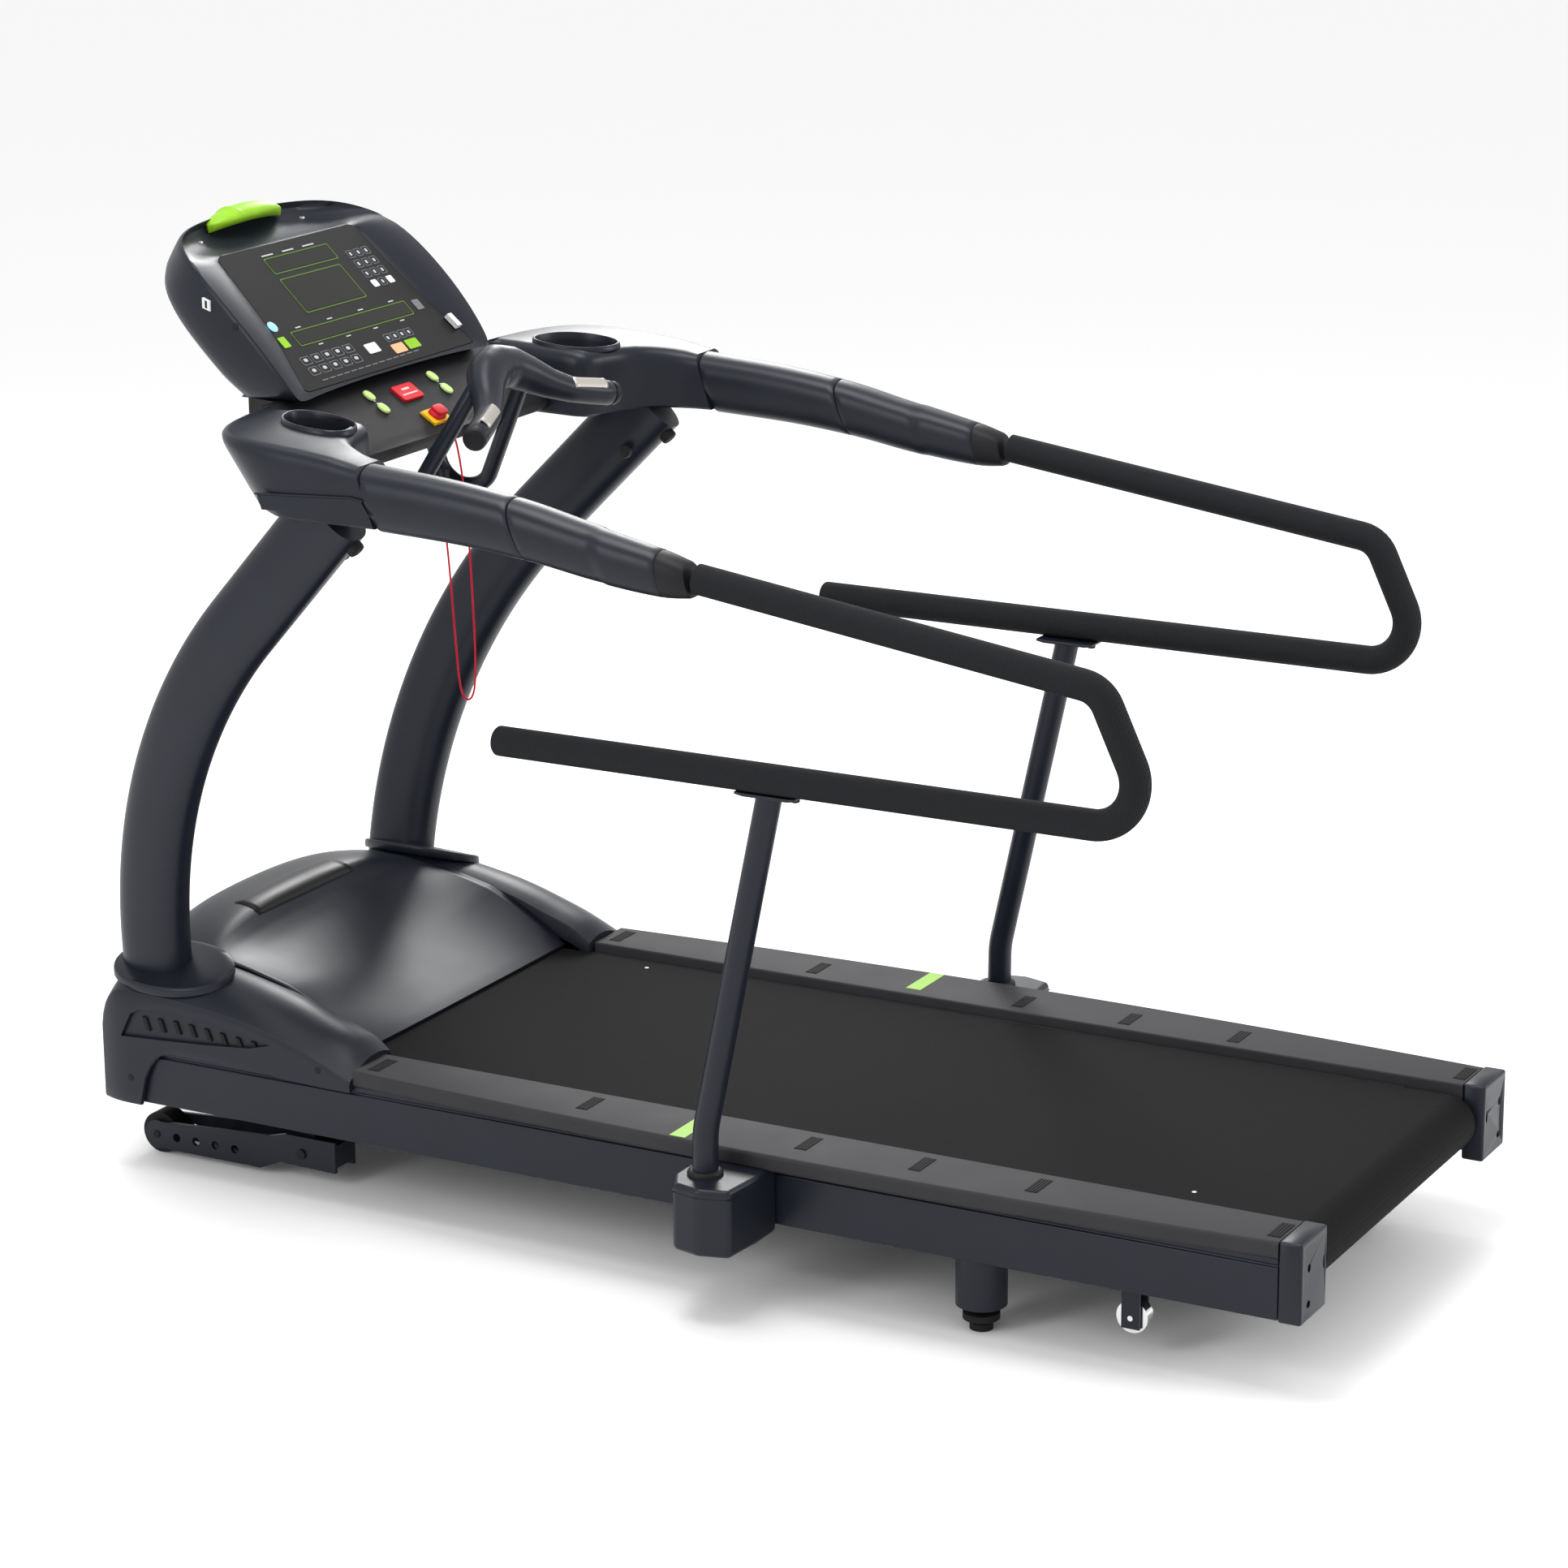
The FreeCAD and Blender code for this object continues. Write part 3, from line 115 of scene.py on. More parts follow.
def finish(
    name,
    colour,
    rough,
    metal=0.0,
    grain=0.0,
    grain_size=0.0012,
    mottle=0.0,
    mottle_size=0.08,
    coat=0.0,
    shine=0.2,
    build=None,
):
    """A procedural finish: a base colour with soft mottling, and a fine surface grain."""
    if name in FINISHES:
        return FINISHES[name]
    made = bpy.data.materials.new(name)
    made.use_nodes = True
    nodes, links = made.node_tree.nodes, made.node_tree.links
    shader = nodes["Principled BSDF"]
    shader.inputs["Base Color"].default_value = (*colour, 1)
    shader.inputs["Roughness"].default_value = rough
    shader.inputs["Metallic"].default_value = metal
    shader.inputs["Coat Weight"].default_value = coat
    shader.inputs["Specular IOR Level"].default_value = 0.5 if metal else shine
    place = nodes.new("ShaderNodeTexCoord")
    if mottle:
        cloud = nodes.new("ShaderNodeTexNoise")
        cloud.inputs["Scale"].default_value = 1 / mottle_size
        cloud.inputs["Detail"].default_value = 6
        links.new(place.outputs["Object"], cloud.inputs["Vector"])
        ramp = nodes.new("ShaderNodeValToRGB")
        low, high = ramp.color_ramp.elements
        low.position, high.position = 0.3, 0.7
        low.color = (*[c * (1 - mottle) for c in colour], 1)
        high.color = (*[min(1, c * (1 + mottle)) for c in colour], 1)
        links.new(cloud.outputs["Fac"], ramp.inputs["Fac"])
        links.new(ramp.outputs["Color"], shader.inputs["Base Color"])
        span = nodes.new("ShaderNodeMapRange")
        span.inputs["To Min"].default_value = max(0.02, rough - 0.06)
        span.inputs["To Max"].default_value = min(1, rough + 0.06)
        links.new(cloud.outputs["Fac"], span.inputs["Value"])
        links.new(span.outputs["Result"], shader.inputs["Roughness"])
    if grain:
        speckle = nodes.new("ShaderNodeTexNoise")
        speckle.inputs["Scale"].default_value = 1 / grain_size
        speckle.inputs["Detail"].default_value = 3
        links.new(place.outputs["Object"], speckle.inputs["Vector"])
        bump = nodes.new("ShaderNodeBump")
        bump.inputs["Strength"].default_value = grain
        bump.inputs["Distance"].default_value = 0.0004
        links.new(speckle.outputs["Fac"], bump.inputs["Height"])
        links.new(bump.outputs["Normal"], shader.inputs["Normal"])
    if build:
        build(nodes, links, shader, place)
    FINISHES[name] = made
    return made


def bands(axis, pitch, depth, groove_shade_colour=None, crest_light_colour=None, second_axis=None):
    """Fine ridges across one or two row axes, as a bump and, if given, two colours: painted shade in the
    grooves and painted light on the crests.
    """

    def build(nodes, links, shader, place):
        height = None
        for way in filter(None, (axis, second_axis)):
            wave = nodes.new("ShaderNodeTexWave")
            wave.bands_direction = way
            wave.inputs["Scale"].default_value = 0.31416 / pitch
            links.new(place.outputs["Object"], wave.inputs["Vector"])
            if height is None:
                height = wave.outputs["Fac"]
            else:
                mix = nodes.new("ShaderNodeMath")
                mix.operation = "MULTIPLY"
                links.new(height, mix.inputs[0])
                links.new(wave.outputs["Fac"], mix.inputs[1])
                height = mix.outputs[0]
        bump = nodes.new("ShaderNodeBump")
        bump.inputs["Strength"].default_value = depth
        bump.inputs["Distance"].default_value = 0.0006
        links.new(height, bump.inputs["Height"])
        links.new(bump.outputs["Normal"], shader.inputs["Normal"])
        # The colour follows the ridge height: painted shade in the grooves, painted light on the crests.
        if groove_shade_colour:
            ramp = nodes.new("ShaderNodeValToRGB")
            ramp.color_ramp.elements[0].color = (*groove_shade_colour, 1)
            ramp.color_ramp.elements[1].color = (*crest_light_colour, 1)
            links.new(height, ramp.inputs["Fac"])
            links.new(ramp.outputs["Color"], shader.inputs["Base Color"])

    return build


def paint():
    return finish(
        "painted_steel", (0.0085, 0.0105, 0.0175), 0.34, grain=0.12, grain_size=0.0016, mottle=0.08,
        shine=0.24
    )


def shell_plastic():
    return finish(
        "moulded_shell", (0.0080, 0.0098, 0.0160), 0.36, grain=0.14, grain_size=0.0009, mottle=0.10,
        shine=0.24
    )


def tread_plastic():
    return finish("tread_plastic", (0.024, 0.0225, 0.0255), 0.60, grain=0.5, grain_size=0.0011, mottle=0.10)


def dark_plastic():
    return finish("dark_plastic", (0.0065, 0.0065, 0.008), 0.5, grain=0.25, grain_size=0.0009, mottle=0.1)


def black_rubber():
    return finish("black_rubber", (0.008, 0.008, 0.0085), 0.7, grain=0.4, grain_size=0.0012, mottle=0.15)


def belt_rubber():
    # The weave's two colours are painted shade in its grooves and painted light on its ridges.
    weave = bands("Y", 0.0016, 0.5, (0.0050, 0.0050, 0.0055), (0.0095, 0.0095, 0.0100), "X")
    return finish("belt_weave", (0.007, 0.007, 0.0075), 0.7, shine=0.06, build=weave)


def foam():
    # The ribs are painted darker in their grooves and lighter on their crests: painted shade and light.
    ribs = bands("Y", 0.0022, 0.9, (0.0075, 0.0080, 0.0095), (0.0185, 0.0190, 0.0220))
    return finish("sleeve_foam", (0.012, 0.012, 0.014), 0.8, shine=0.12, build=ribs)


def overlay_film():
    return finish("overlay_film", (0.0050, 0.0048, 0.0048), 0.36, grain=0.06, grain_size=0.0009, mottle=0.1)


def lime():
    return finish("lime_gloss", (0.21, 0.43, 0.012), 0.42, mottle=0.06, mottle_size=0.03)


def red():
    return finish("signal_red", (0.50, 0.008, 0.018), 0.36, mottle=0.06, mottle_size=0.02)


def yellow():
    return finish("signal_yellow", (0.66, 0.40, 0.010), 0.4, mottle=0.05, mottle_size=0.02)


def white_print():
    return finish("white_print", (0.60, 0.60, 0.61), 0.45, mottle=0.03, mottle_size=0.02)


def pale_red():
    return finish("pale_red", (0.85, 0.45, 0.45), 0.45, mottle=0.04)


def pale_green():
    return finish("pale_green", (0.45, 0.62, 0.22), 0.4, mottle=0.08, mottle_size=0.01)


def pale_orange():
    return finish("pale_orange", (0.80, 0.36, 0.20), 0.42, mottle=0.05, mottle_size=0.01)


def pale_blue():
    return finish("pale_blue", (0.28, 0.58, 0.78), 0.42, mottle=0.05, mottle_size=0.01)


def green_line():
    return finish("green_line", (0.10, 0.20, 0.012), 0.5, mottle=0.05)


def window_glass():
    return finish("window_glass", (0.010, 0.010, 0.009), 0.16, mottle=0.05)


def grey_print():
    return finish("grey_print", (0.13, 0.135, 0.15), 0.5, mottle=0.05)


def legend_print():
    return finish("legend_print", (0.38, 0.39, 0.42), 0.5, mottle=0.05)


def motor_paint():
    return finish("motor_paint", (0.05, 0.05, 0.055), 0.45, grain=0.3, mottle=0.1)


def steel():
    return finish(
        "turned_steel", (0.42, 0.42, 0.43), 0.32, metal=1.0, grain=0.15, mottle=0.12, mottle_size=0.02
    )


def chrome():
    return finish("chrome", (0.75, 0.75, 0.77), 0.12, metal=1.0, mottle=0.05, mottle_size=0.02)


def contact_metal():
    # The stripes are painted darker in their grooves and lighter on their crests: painted shade and light.
    lines = bands("X", 0.0035, 0.5, (0.30, 0.28, 0.25), (0.62, 0.59, 0.54))
    return finish("contact_metal", (0.55, 0.52, 0.48), 0.34, metal=0.7, build=lines)


# ------------------------------------------------------------------ mesh tools


def add_mesh(name, points, faces, material, body="frame", slot=None, sharp=35.0):
    data = bpy.data.meshes.new(name)
    data.from_pydata([tuple(p) for p in points], [], faces)
    data.validate()
    made = bpy.data.objects.new(name, data)
    bpy.context.scene.collection.objects.link(made)
    tidy_normals(made, sharp)
    data.materials.append(material)
    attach(made, body)
    return made


def tidy_normals(made, sharp):
    work = bmesh.new()
    work.from_mesh(made.data)
    bmesh.ops.remove_doubles(work, verts=work.verts, dist=1e-6)
    bmesh.ops.recalc_face_normals(work, faces=work.faces)
    work.to_mesh(made.data)
    work.free()
    for face in made.data.polygons:
        face.use_smooth = True
    made.data.set_sharp_from_angle(angle=math.radians(sharp))


def soften(made, width, segments=3, angle=30):
    """Rounds the sharp edges of a piece and evens out its shading."""
    bevel = made.modifiers.new("round", "BEVEL")
    bevel.width = width
    bevel.segments = segments
    bevel.limit_method = "ANGLE"
    bevel.angle_limit = math.radians(angle)
    bevel.harden_normals = True
    return settle(made)


def settle(made):
    """Applies a piece's modifiers, so that its mesh is final."""
    graph = bpy.context.evaluated_depsgraph_get()
    data = bpy.data.meshes.new_from_object(made.evaluated_get(graph))
    made.modifiers.clear()
    made.data = data
    return made


def carve(made, cutter):
    """Cuts one mesh out of another and removes the cutter."""
    change = made.modifiers.new("carve", "BOOLEAN")
    change.object = cutter
    change.operation = "DIFFERENCE"
    change.solver = "EXACT"
    settle(made)
    bpy.data.objects.remove(cutter)
    for face in made.data.polygons:
        face.use_smooth = True
    made.data.set_sharp_from_angle(angle=math.radians(32))
    return made


def rings_mesh(name, rings, material, closed=True, caps=True, **options):
    """A skin through rings of points that all have the same count."""
    count = len(rings[0])
    points = [p for ring in rings for p in ring]
    faces = []
    span = count if closed else count - 1
    for row in range(len(rings) - 1):
        for i in range(span):
            a, b = row * count + i, row * count + (i + 1) % count
            faces.append((a, b, b + count, a + count))
    if caps and closed:
        faces.append(tuple(range(count))[::-1])
        faces.append(tuple(range((len(rings) - 1) * count, len(rings) * count)))
    return add_mesh(name, points, faces, material, **options)


def superellipse(count, power):
    """Unit points round a rounded square: power 2 is a circle, larger is squarer."""
    points = []
    for i in range(count):
        angle = 2 * math.pi * i / count
        c, s = math.cos(angle), math.sin(angle)
        points.append((math.copysign(abs(c) ** (2 / power), c), math.copysign(abs(s) ** (2 / power), s)))
    return points


def prism(name, outline, low, high, axis, material, **options):
    """A flat outline extruded along one row axis; its points are in the other two axes, in order."""
    slots = {"X": (1, 2, 0), "Y": (0, 2, 1), "Z": (0, 1, 2)}[axis]
    rings = []
    for level in (low, high):
        ring = []
        for a, b in outline:
            p = [0, 0, 0]
            p[slots[0]], p[slots[1]], p[slots[2]] = a, b, level
            ring.append(p)
        rings.append(ring)
    return rings_mesh(name, rings, material, **options)


def block(name, low, high, material, round_by=0.002, **options):
    """A box between two corners with rounded edges."""
    outline = [(low[0], low[1]), (high[0], low[1]), (high[0], high[1]), (low[0], high[1])]
    made = prism(name, outline, low[2], high[2], "Z", material, **options)
    return soften(made, round_by) if round_by else made


def arc_points(centre, radius, start, end, count):
    """Points on a circle in a plane, angles in degrees."""
    return [
        (
            centre[0] + radius * math.cos(math.radians(start + (end - start) * i / count)),
            centre[1] + radius * math.sin(math.radians(start + (end - start) * i / count)),
        )
        for i in range(count + 1)
    ]


def disc(name, place, axis, radius, thick, material, rim=0.0012, sides=40, **options):
    """A turned button or washer: a short cylinder with a rounded rim, facing along axis."""
    axis = Vector(axis).normalized()
    side = axis.orthogonal().normalized()
    other = axis.cross(side)
    rings = []
    profile = [
        (0.2 * radius, 0), (radius, 0), (radius, thick - rim), (radius - 0.3 * rim, thick - 0.3 * rim)
    ]
    for r, h in profile + [(radius - rim, thick), (0.2 * radius, thick)]:
        rings.append(
            [
                Vector(place) + axis * h + (side * math.cos(t) + other * math.sin(t)) * r
                for t in (2 * math.pi * i / sides for i in range(sides))
            ]
        )
    return rings_mesh(name, rings, material, **options)


def rounded_path(corners, radii, step=0.012):
    """Points along straight runs joined by tangent arcs."""
    points, last = [], Vector(corners[0])
    for before, corner, after, radius in zip(corners, corners[1:], corners[2:], radii):
        b, c, a = Vector(before), Vector(corner), Vector(after)
        into, out = (c - b).normalized(), (a - c).normalized()
        half = into.angle(out) / 2
        back = radius * math.tan(half)
        start, end = c - into * back, c + out * back
        centre = c + (out - into).normalized() * (radius / math.cos(half))
        runs = max(1, int((start - last).length / step))
        points += [last.lerp(start, i / runs) for i in range(runs)]
        turns = max(6, int(2 * half * radius / step * 2))
        arm = start - centre
        spin_axis = into.cross(out).normalized()
        for i in range(turns):
            points.append(centre + Matrix.Rotation(2 * half * i / turns, 3, spin_axis) @ arm)
        last = end
    final = Vector(corners[-1])
    runs = max(1, int((final - last).length / step))
    points += [last.lerp(final, i / runs) for i in range(runs + 1)]
    return points


def path_rings(points, profile, scale=None):
    """Carries a profile of (side, up) points along a path without twisting."""
    rings = []
    tangent = (points[1] - points[0]).normalized()
    side = tangent.cross(Vector((0, 0, 1)))
    if side.length < 0.2:
        side = tangent.cross(Vector((0, 1, 0)))
    side.normalize()
    for index, point in enumerate(points):
        ahead = points[min(index + 1, len(points) - 1)]
        behind = points[max(index - 1, 0)]
        new_tangent = (ahead - behind).normalized()
        side = (side - new_tangent * side.dot(new_tangent)).normalized()
        up = side.cross(new_tangent)
        grow = scale(index, len(points)) if scale else 1
        rings.append([point + (side * a + up * b) * grow for a, b in profile])
    return rings


def round_profile(radius, count=32):
    return [(radius * a, radius * b) for a, b in superellipse(count, 2)]


def domed(points, radius):
    """Path points and radius factors that close a tube with a rounded end."""
    heading = (points[-1] - points[-2]).normalized()
    steps = ((0.35, 0.97), (0.65, 0.88), (0.88, 0.7), (1.0, 0.4))
    return [(points[-1] + heading * radius * 0.32 * f, s) for f, s in steps]


def tube(name, points, radius, material, dome=False, count=32, **options):
    extra = domed(points, radius) if dome else []
    sizes = [1.0] * len(points) + [s for _, s in extra]
    every = list(points) + [p for p, _ in extra]
    rings = path_rings(every, round_profile(radius, count), lambda i, n: sizes[i])
    return rings_mesh(name, rings, material, **options)


def curve_value(knots, at):
    """A smooth value through (place, value) knots, by monotone cubic blending."""
    if at <= knots[0][0]:
        return knots[0][1]
    if at >= knots[-1][0]:
        return knots[-1][1]
    for index in range(len(knots) - 1):
        (x0, y0), (x1, y1) = knots[index], knots[index + 1]
        if x0 <= at <= x1:
            slopes = []
            for k in (index, index + 1):
                left = knots[k - 1] if k else None
                right = knots[k + 1] if k + 1 < len(knots) else None
                if left and right:
                    s0 = (knots[k][1] - left[1]) / (knots[k][0] - left[0])
                    s1 = (right[1] - knots[k][1]) / (right[0] - knots[k][0])
                    slopes.append(0 if s0 * s1 <= 0 else 2 * s0 * s1 / (s0 + s1))
                else:
                    slopes.append((y1 - y0) / (x1 - x0))
            t, width = (at - x0) / (x1 - x0), x1 - x0
            return (
                y0 * (2 * t**3 - 3 * t**2 + 1)
                + slopes[0] * width * (t**3 - 2 * t**2 + t)
                + y1 * (3 * t**2 - 2 * t**3)
                + slopes[1] * width * (t**3 - t**2)
            )


def spread(low, high, count):
    return [low + (high - low) * i / (count - 1) for i in range(count)]


# ------------------------------------------------------------------ tether

TETHER_ROUTE = [
    (0, 0.5765, 1.151),
    (0, 0.566, 1.141),
    (0, 0.558, 1.122),
    (0.001, 0.552, 1.09),
    (0.002, 0.547, 1.046),
    (0.003, 0.543, 0.996),
    (0.003, 0.54, 0.94),
    (0.002, 0.537, 0.882),
    (0.002, 0.535, 0.826),
    (0.001, 0.534, 0.776),
    (0, 0.5345, 0.74),
    (-0.001, 0.539, 0.718),
    (-0.003, 0.547, 0.711),
    (-0.005, 0.555, 0.718),
    (-0.006, 0.56, 0.74),
    (-0.006, 0.563, 0.78),
    (-0.006, 0.567, 0.836),
    (-0.005, 0.571, 0.892),
    (-0.004, 0.576, 0.948),
    (-0.002, 0.582, 0.996),
    (0, 0.586, 1.04),
]
TETHER_WIDE = 0.0032


def tether():
    data = bpy.data.curves.new("tether_cord", "CURVE")
    data.dimensions = "3D"
    spline = data.splines.new("NURBS")
    spline.points.add(len(TETHER_ROUTE) - 1)
    for point, place in zip(spline.points, TETHER_ROUTE):
        point.co = (*place, 1)
    spline.order_u = 3
    spline.use_endpoint_u = True
    spline.resolution_u = 12
    data.bevel_depth = TETHER_WIDE / 2
    data.bevel_resolution = 6
    data.use_fill_caps = True
    made = bpy.data.objects.new("tether_cord", data)
    bpy.context.scene.collection.objects.link(made)
    # The braid is painted darker in its grooves and lighter on its crests: painted shade and light.
    braid = bands("Z", 0.0016, 1.0, (0.42, 0.004, 0.018), (0.70, 0.012, 0.035))
    data.materials.append(finish("tether_braid", (0.6, 0.01, 0.03), 0.6, build=braid))
    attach(made, "frame")
    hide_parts("safety_tether")
    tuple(TETHER_ROUTE[0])


# ------------------------------------------------------------------ base


def side_rails():
    low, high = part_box("side_rails")
    low_z, high_z = low[2], high[2]
    for side, sign in SIDES:
        outline = [
            (sign * 0.341, low_z + 0.0005),
            (sign * 0.3995, low_z + 0.0005),
            (sign * 0.3995, high_z - 0.014),
            (sign * 0.3965, high_z - 0.0125),
            (sign * 0.3965, high_z - 0.0095),
            (sign * 0.3995, high_z - 0.008),
            (sign * 0.3995, high_z - 0.0002),
            (sign * 0.341, high_z - 0.0002),
        ]
        made = prism(
            f"rail_{side}", outline, low[1] + 0.0005, high[1] - 0.0005, "Y", paint(), slot="frame_paint"
        )
        soften(made, 0.0035, 3, 50)
        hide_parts("side_rails")


def footrail_outer(y, low_y, high_y):
    """Half width of the foot rail's bowed outer edge at y."""
    middle, half = (low_y + high_y) / 2, (high_y - low_y) / 2
    return 0.403 + 0.026 * (1 - ((y - middle) / half) ** 2)


PAD_PITCH, FIRST_PAD_Y, PAD_X = 0.1832, 0.49, 0.358


def footrails():
    for side, sign in SIDES:
        low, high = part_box(f"footrail_{side}")
        top, inner = high[2], 0.3105
        rings = []
        for y in spread(low[1] + 0.0005, high[1] - 0.0005, 61):
            outer = footrail_outer(y, low[1], high[1]) - 0.0008
            section = [(inner, low[2] + 0.0004), (inner, top - 0.003)]
            section += arc_points((inner + 0.003, top - 0.003), 0.003, 180, 90, 4)[1:]
            section += arc_points((outer - 0.006, top - 0.006), 0.006, 90, 0, 6)
            section += [(outer, low[2] + 0.004), (outer - 0.003, low[2] + 0.0004)]
            rings.append([(sign * x, y, z) for x, z in section])
        made = rings_mesh(f"tread_{side}", rings, tread_plastic(), slot="tread_plastic")
        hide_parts(f"footrail_{side}")
    recolour("tread_pads", black_rubber())
    recolour("step_markers", lime())
    pad_ridges()


def pad_ridges():
    """Four fine ridges on each of the tread pads."""
    for side, sign in SIDES:
        for index in (0, 2, 4, 5, 6, 8):
            y = FIRST_PAD_Y - index * PAD_PITCH
            for row in range(4):
                start = y - 0.0085 + row * 0.0047
                low = (sign * PAD_X - 0.0255, start, 0.2298)
                high = (sign * PAD_X + 0.0255, start + 0.0028, 0.2314)
                name = f"pad_ridge_{side}_{index}_{row}"
                block(name, low, high, black_rubber(), 0.0005, slot="pad_rubber")


def recolour(node, material):
    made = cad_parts[node]
    made.data.materials.clear()
    made.data.materials.append(material)
    for face in made.data.polygons:
        face.material_index = 0


def rear_caps():
    for side, sign in SIDES:
        cap = block(
            f"end_cap_{side}",
            (min(sign * 0.3102, sign * 0.4018), -1.0248, 0.1124),
            (max(sign * 0.3102, sign * 0.4018), -0.9904, 0.2318),
            shell_plastic(),
            0.004,
            slot="shell_plastic",
        )
        for x, z, wide, tall in (
            (0.375, 0.190, 0.0055, 0.0065), (0.322, 0.181, 0.0035, 0.0095),
            (0.375, 0.137, 0.0065, 0.0055)
        ):
            ring = [
                [
                    (sign * x + wide * a, y, z + tall * b) for a, b in superellipse(28, 2)
                ] for y in (-1.03, -1.012)
            ]
            carve(cap, rings_mesh("cutter", ring, black_rubber()))
            bolt = [
                [
                    (sign * x + wide * 0.8 * a, y, z + wide * 0.8 * b) for a, b in superellipse(6, 2)
                ] for y in (-1.0178, -1.0125)
            ]
            rings_mesh(
                f"cap_bolt_{side}_{int(x * 1000)}_{int(z * 1000)}", bolt, steel(), slot="steel_turned"
            )
        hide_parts("rear_caps")


BELT_THICK = 0.003


def walking_belt():
    low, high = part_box("walking_belt")
    radius = (high[2] - low[2]) / 2
    centre_z = (high[2] + low[2]) / 2
    rear, front = low[1] + radius, high[1] - radius
    outer = [(y, high[2]) for y in spread(rear, front, 30)]
    outer += arc_points((front, centre_z), radius, 90, -90, 24)[1:]
    outer += [(y, low[2]) for y in spread(front, rear, 30)][1:]
    outer += arc_points((rear, centre_z), radius, 270, 90, 24)[1:-1]
    rings = []
    for inset, x in (
        (BELT_THICK, low[0] + 0.0003), (0, low[0]), (0, high[0]), (BELT_THICK, high[0] - 0.0003)
    ):
        ring = []
        for y, z in outer:
            away = Vector((0, y - min(max(y, rear), front), z - centre_z))
            ring.append(Vector((x, y, z)) - away.normalized() * inset)
        rings.append(ring)
    rings.append(rings[0])
    made = rings_mesh("running_belt", rings, belt_rubber(), caps=False, slot="belt_rubber")
    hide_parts("walking_belt")
    for x, y in ((-0.2505, -0.80), (0.2654, 0.39)):
        disc(
            f"belt_dot_{int(y * 100)}", (x, y, high[2] - 0.0003), (0, 0, 1), 0.0035, 0.0006,
            white_print(), 0.0002
        )


def hood_crest(y):
    """Height of the side shells' outer edge."""
    return curve_value(
        [(0.516, 0.213), (0.60, 0.249), (0.717, 0.281), (0.80, 0.291), (0.88, 0.296), (0.97, 0.296)], y
    )


def hood_shoulder(y):
    """Height of the side shells' inner edge."""
    return curve_value(
        [
            (0.516, 0.232), (0.539, 0.250), (0.60, 0.272), (0.663, 0.293), (0.74, 0.312),
            (0.811, 0.325), (0.88, 0.332), (0.97, 0.334)
        ],
        y
    )


def hood_dish(y):
    """Height of the centre panel's hollow along the middle line."""
    return curve_value(
        [
            (0.566, 0.222), (0.60, 0.234), (0.68, 0.262), (0.76, 0.291), (0.82, 0.317), (0.86, 0.338),
            (0.89, 0.350), (0.93, 0.354)
        ],
        y
    )


HOOD_SIDE = 0.4105
HOOD_SEAM = 0.2968


def hood_sides():
    for side, sign in SIDES:
        rings = []
        stations = spread(0.5165, 0.93, 40) + [0.945, 0.957, 0.967, 0.975, 0.981, 0.9845]
        for y in stations:
            drop = 0.0 if y < 0.935 else (1 - math.sqrt(max(0.0, 1 - ((y - 0.935) / 0.05) ** 2))) * 0.10
            crest, shoulder = hood_crest(y) - drop * 0.7, hood_shoulder(y) - drop
            if y < 0.846:
                floor = 0.197 + 0.009 * min(1, max(0, (y - 0.5725) / 0.2))
            elif y < 0.905:
                floor = 0.206 - 0.094 * (1 - math.sqrt(max(0.0, 1 - ((y - 0.846) / 0.059) ** 2)))
            else:
                floor = 0.1125
            tuck = 0.012 * max(0.0, (y - 0.93) / 0.0545) ** 2
            outer = HOOD_SIDE - tuck
            section = [(HOOD_SEAM, shoulder - 0.03), (HOOD_SEAM, shoulder - 0.003)]
            section += [(HOOD_SEAM + 0.001, shoulder - 0.0008), (HOOD_SEAM + 0.004, shoulder)]
            for t in (0.15, 0.3, 0.45, 0.6, 0.75, 0.88):
                bulge = 0.012 * math.sin(math.pi * t)
                section.append(
                    (HOOD_SEAM + (outer - HOOD_SEAM) * t, shoulder + (crest - shoulder) * t**1.5 + bulge)
                )
            section += [
                (outer - 0.006, crest + 0.004), (outer - 0.002, crest + 0.001), (outer, crest - 0.005)
            ]
            for t in (0.12, 0.3, 0.5, 0.7, 0.88):
                section.append((outer, crest - 0.005 + (floor + 0.004 - crest + 0.005) * t))
            section += [
                (outer, floor + 0.004), (outer - 0.002, floor), (outer - 0.008, floor),
                (outer - 0.009, shoulder - 0.03)
            ]
            rings.append([(sign * x, y, z) for x, z in section])
        made = rings_mesh(f"hood_shell_{side}", rings, shell_plastic(), slot="shell_plastic", sharp=40)
        vent(made, side, sign)
        hood_front(side, sign)
        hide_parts(f"hood_side_{side}")


def hood_front(side, sign):
    """The side shell's front wall, rounded at its top and outer corner."""
    outline = [
        (0.2985, 0.1128), (0.3985, 0.1128), (0.3995, 0.225), (0.395, 0.245), (0.380, 0.262),
        (0.350, 0.272), (0.2985, 0.276)
    ]
    made = prism(
        f"hood_front_{side}", [(sign * x, z) for x, z in outline], 0.958, 0.9835, "Y", shell_plastic(),
        slot="shell_plastic"
    )
    soften(made, 0.004, 3)


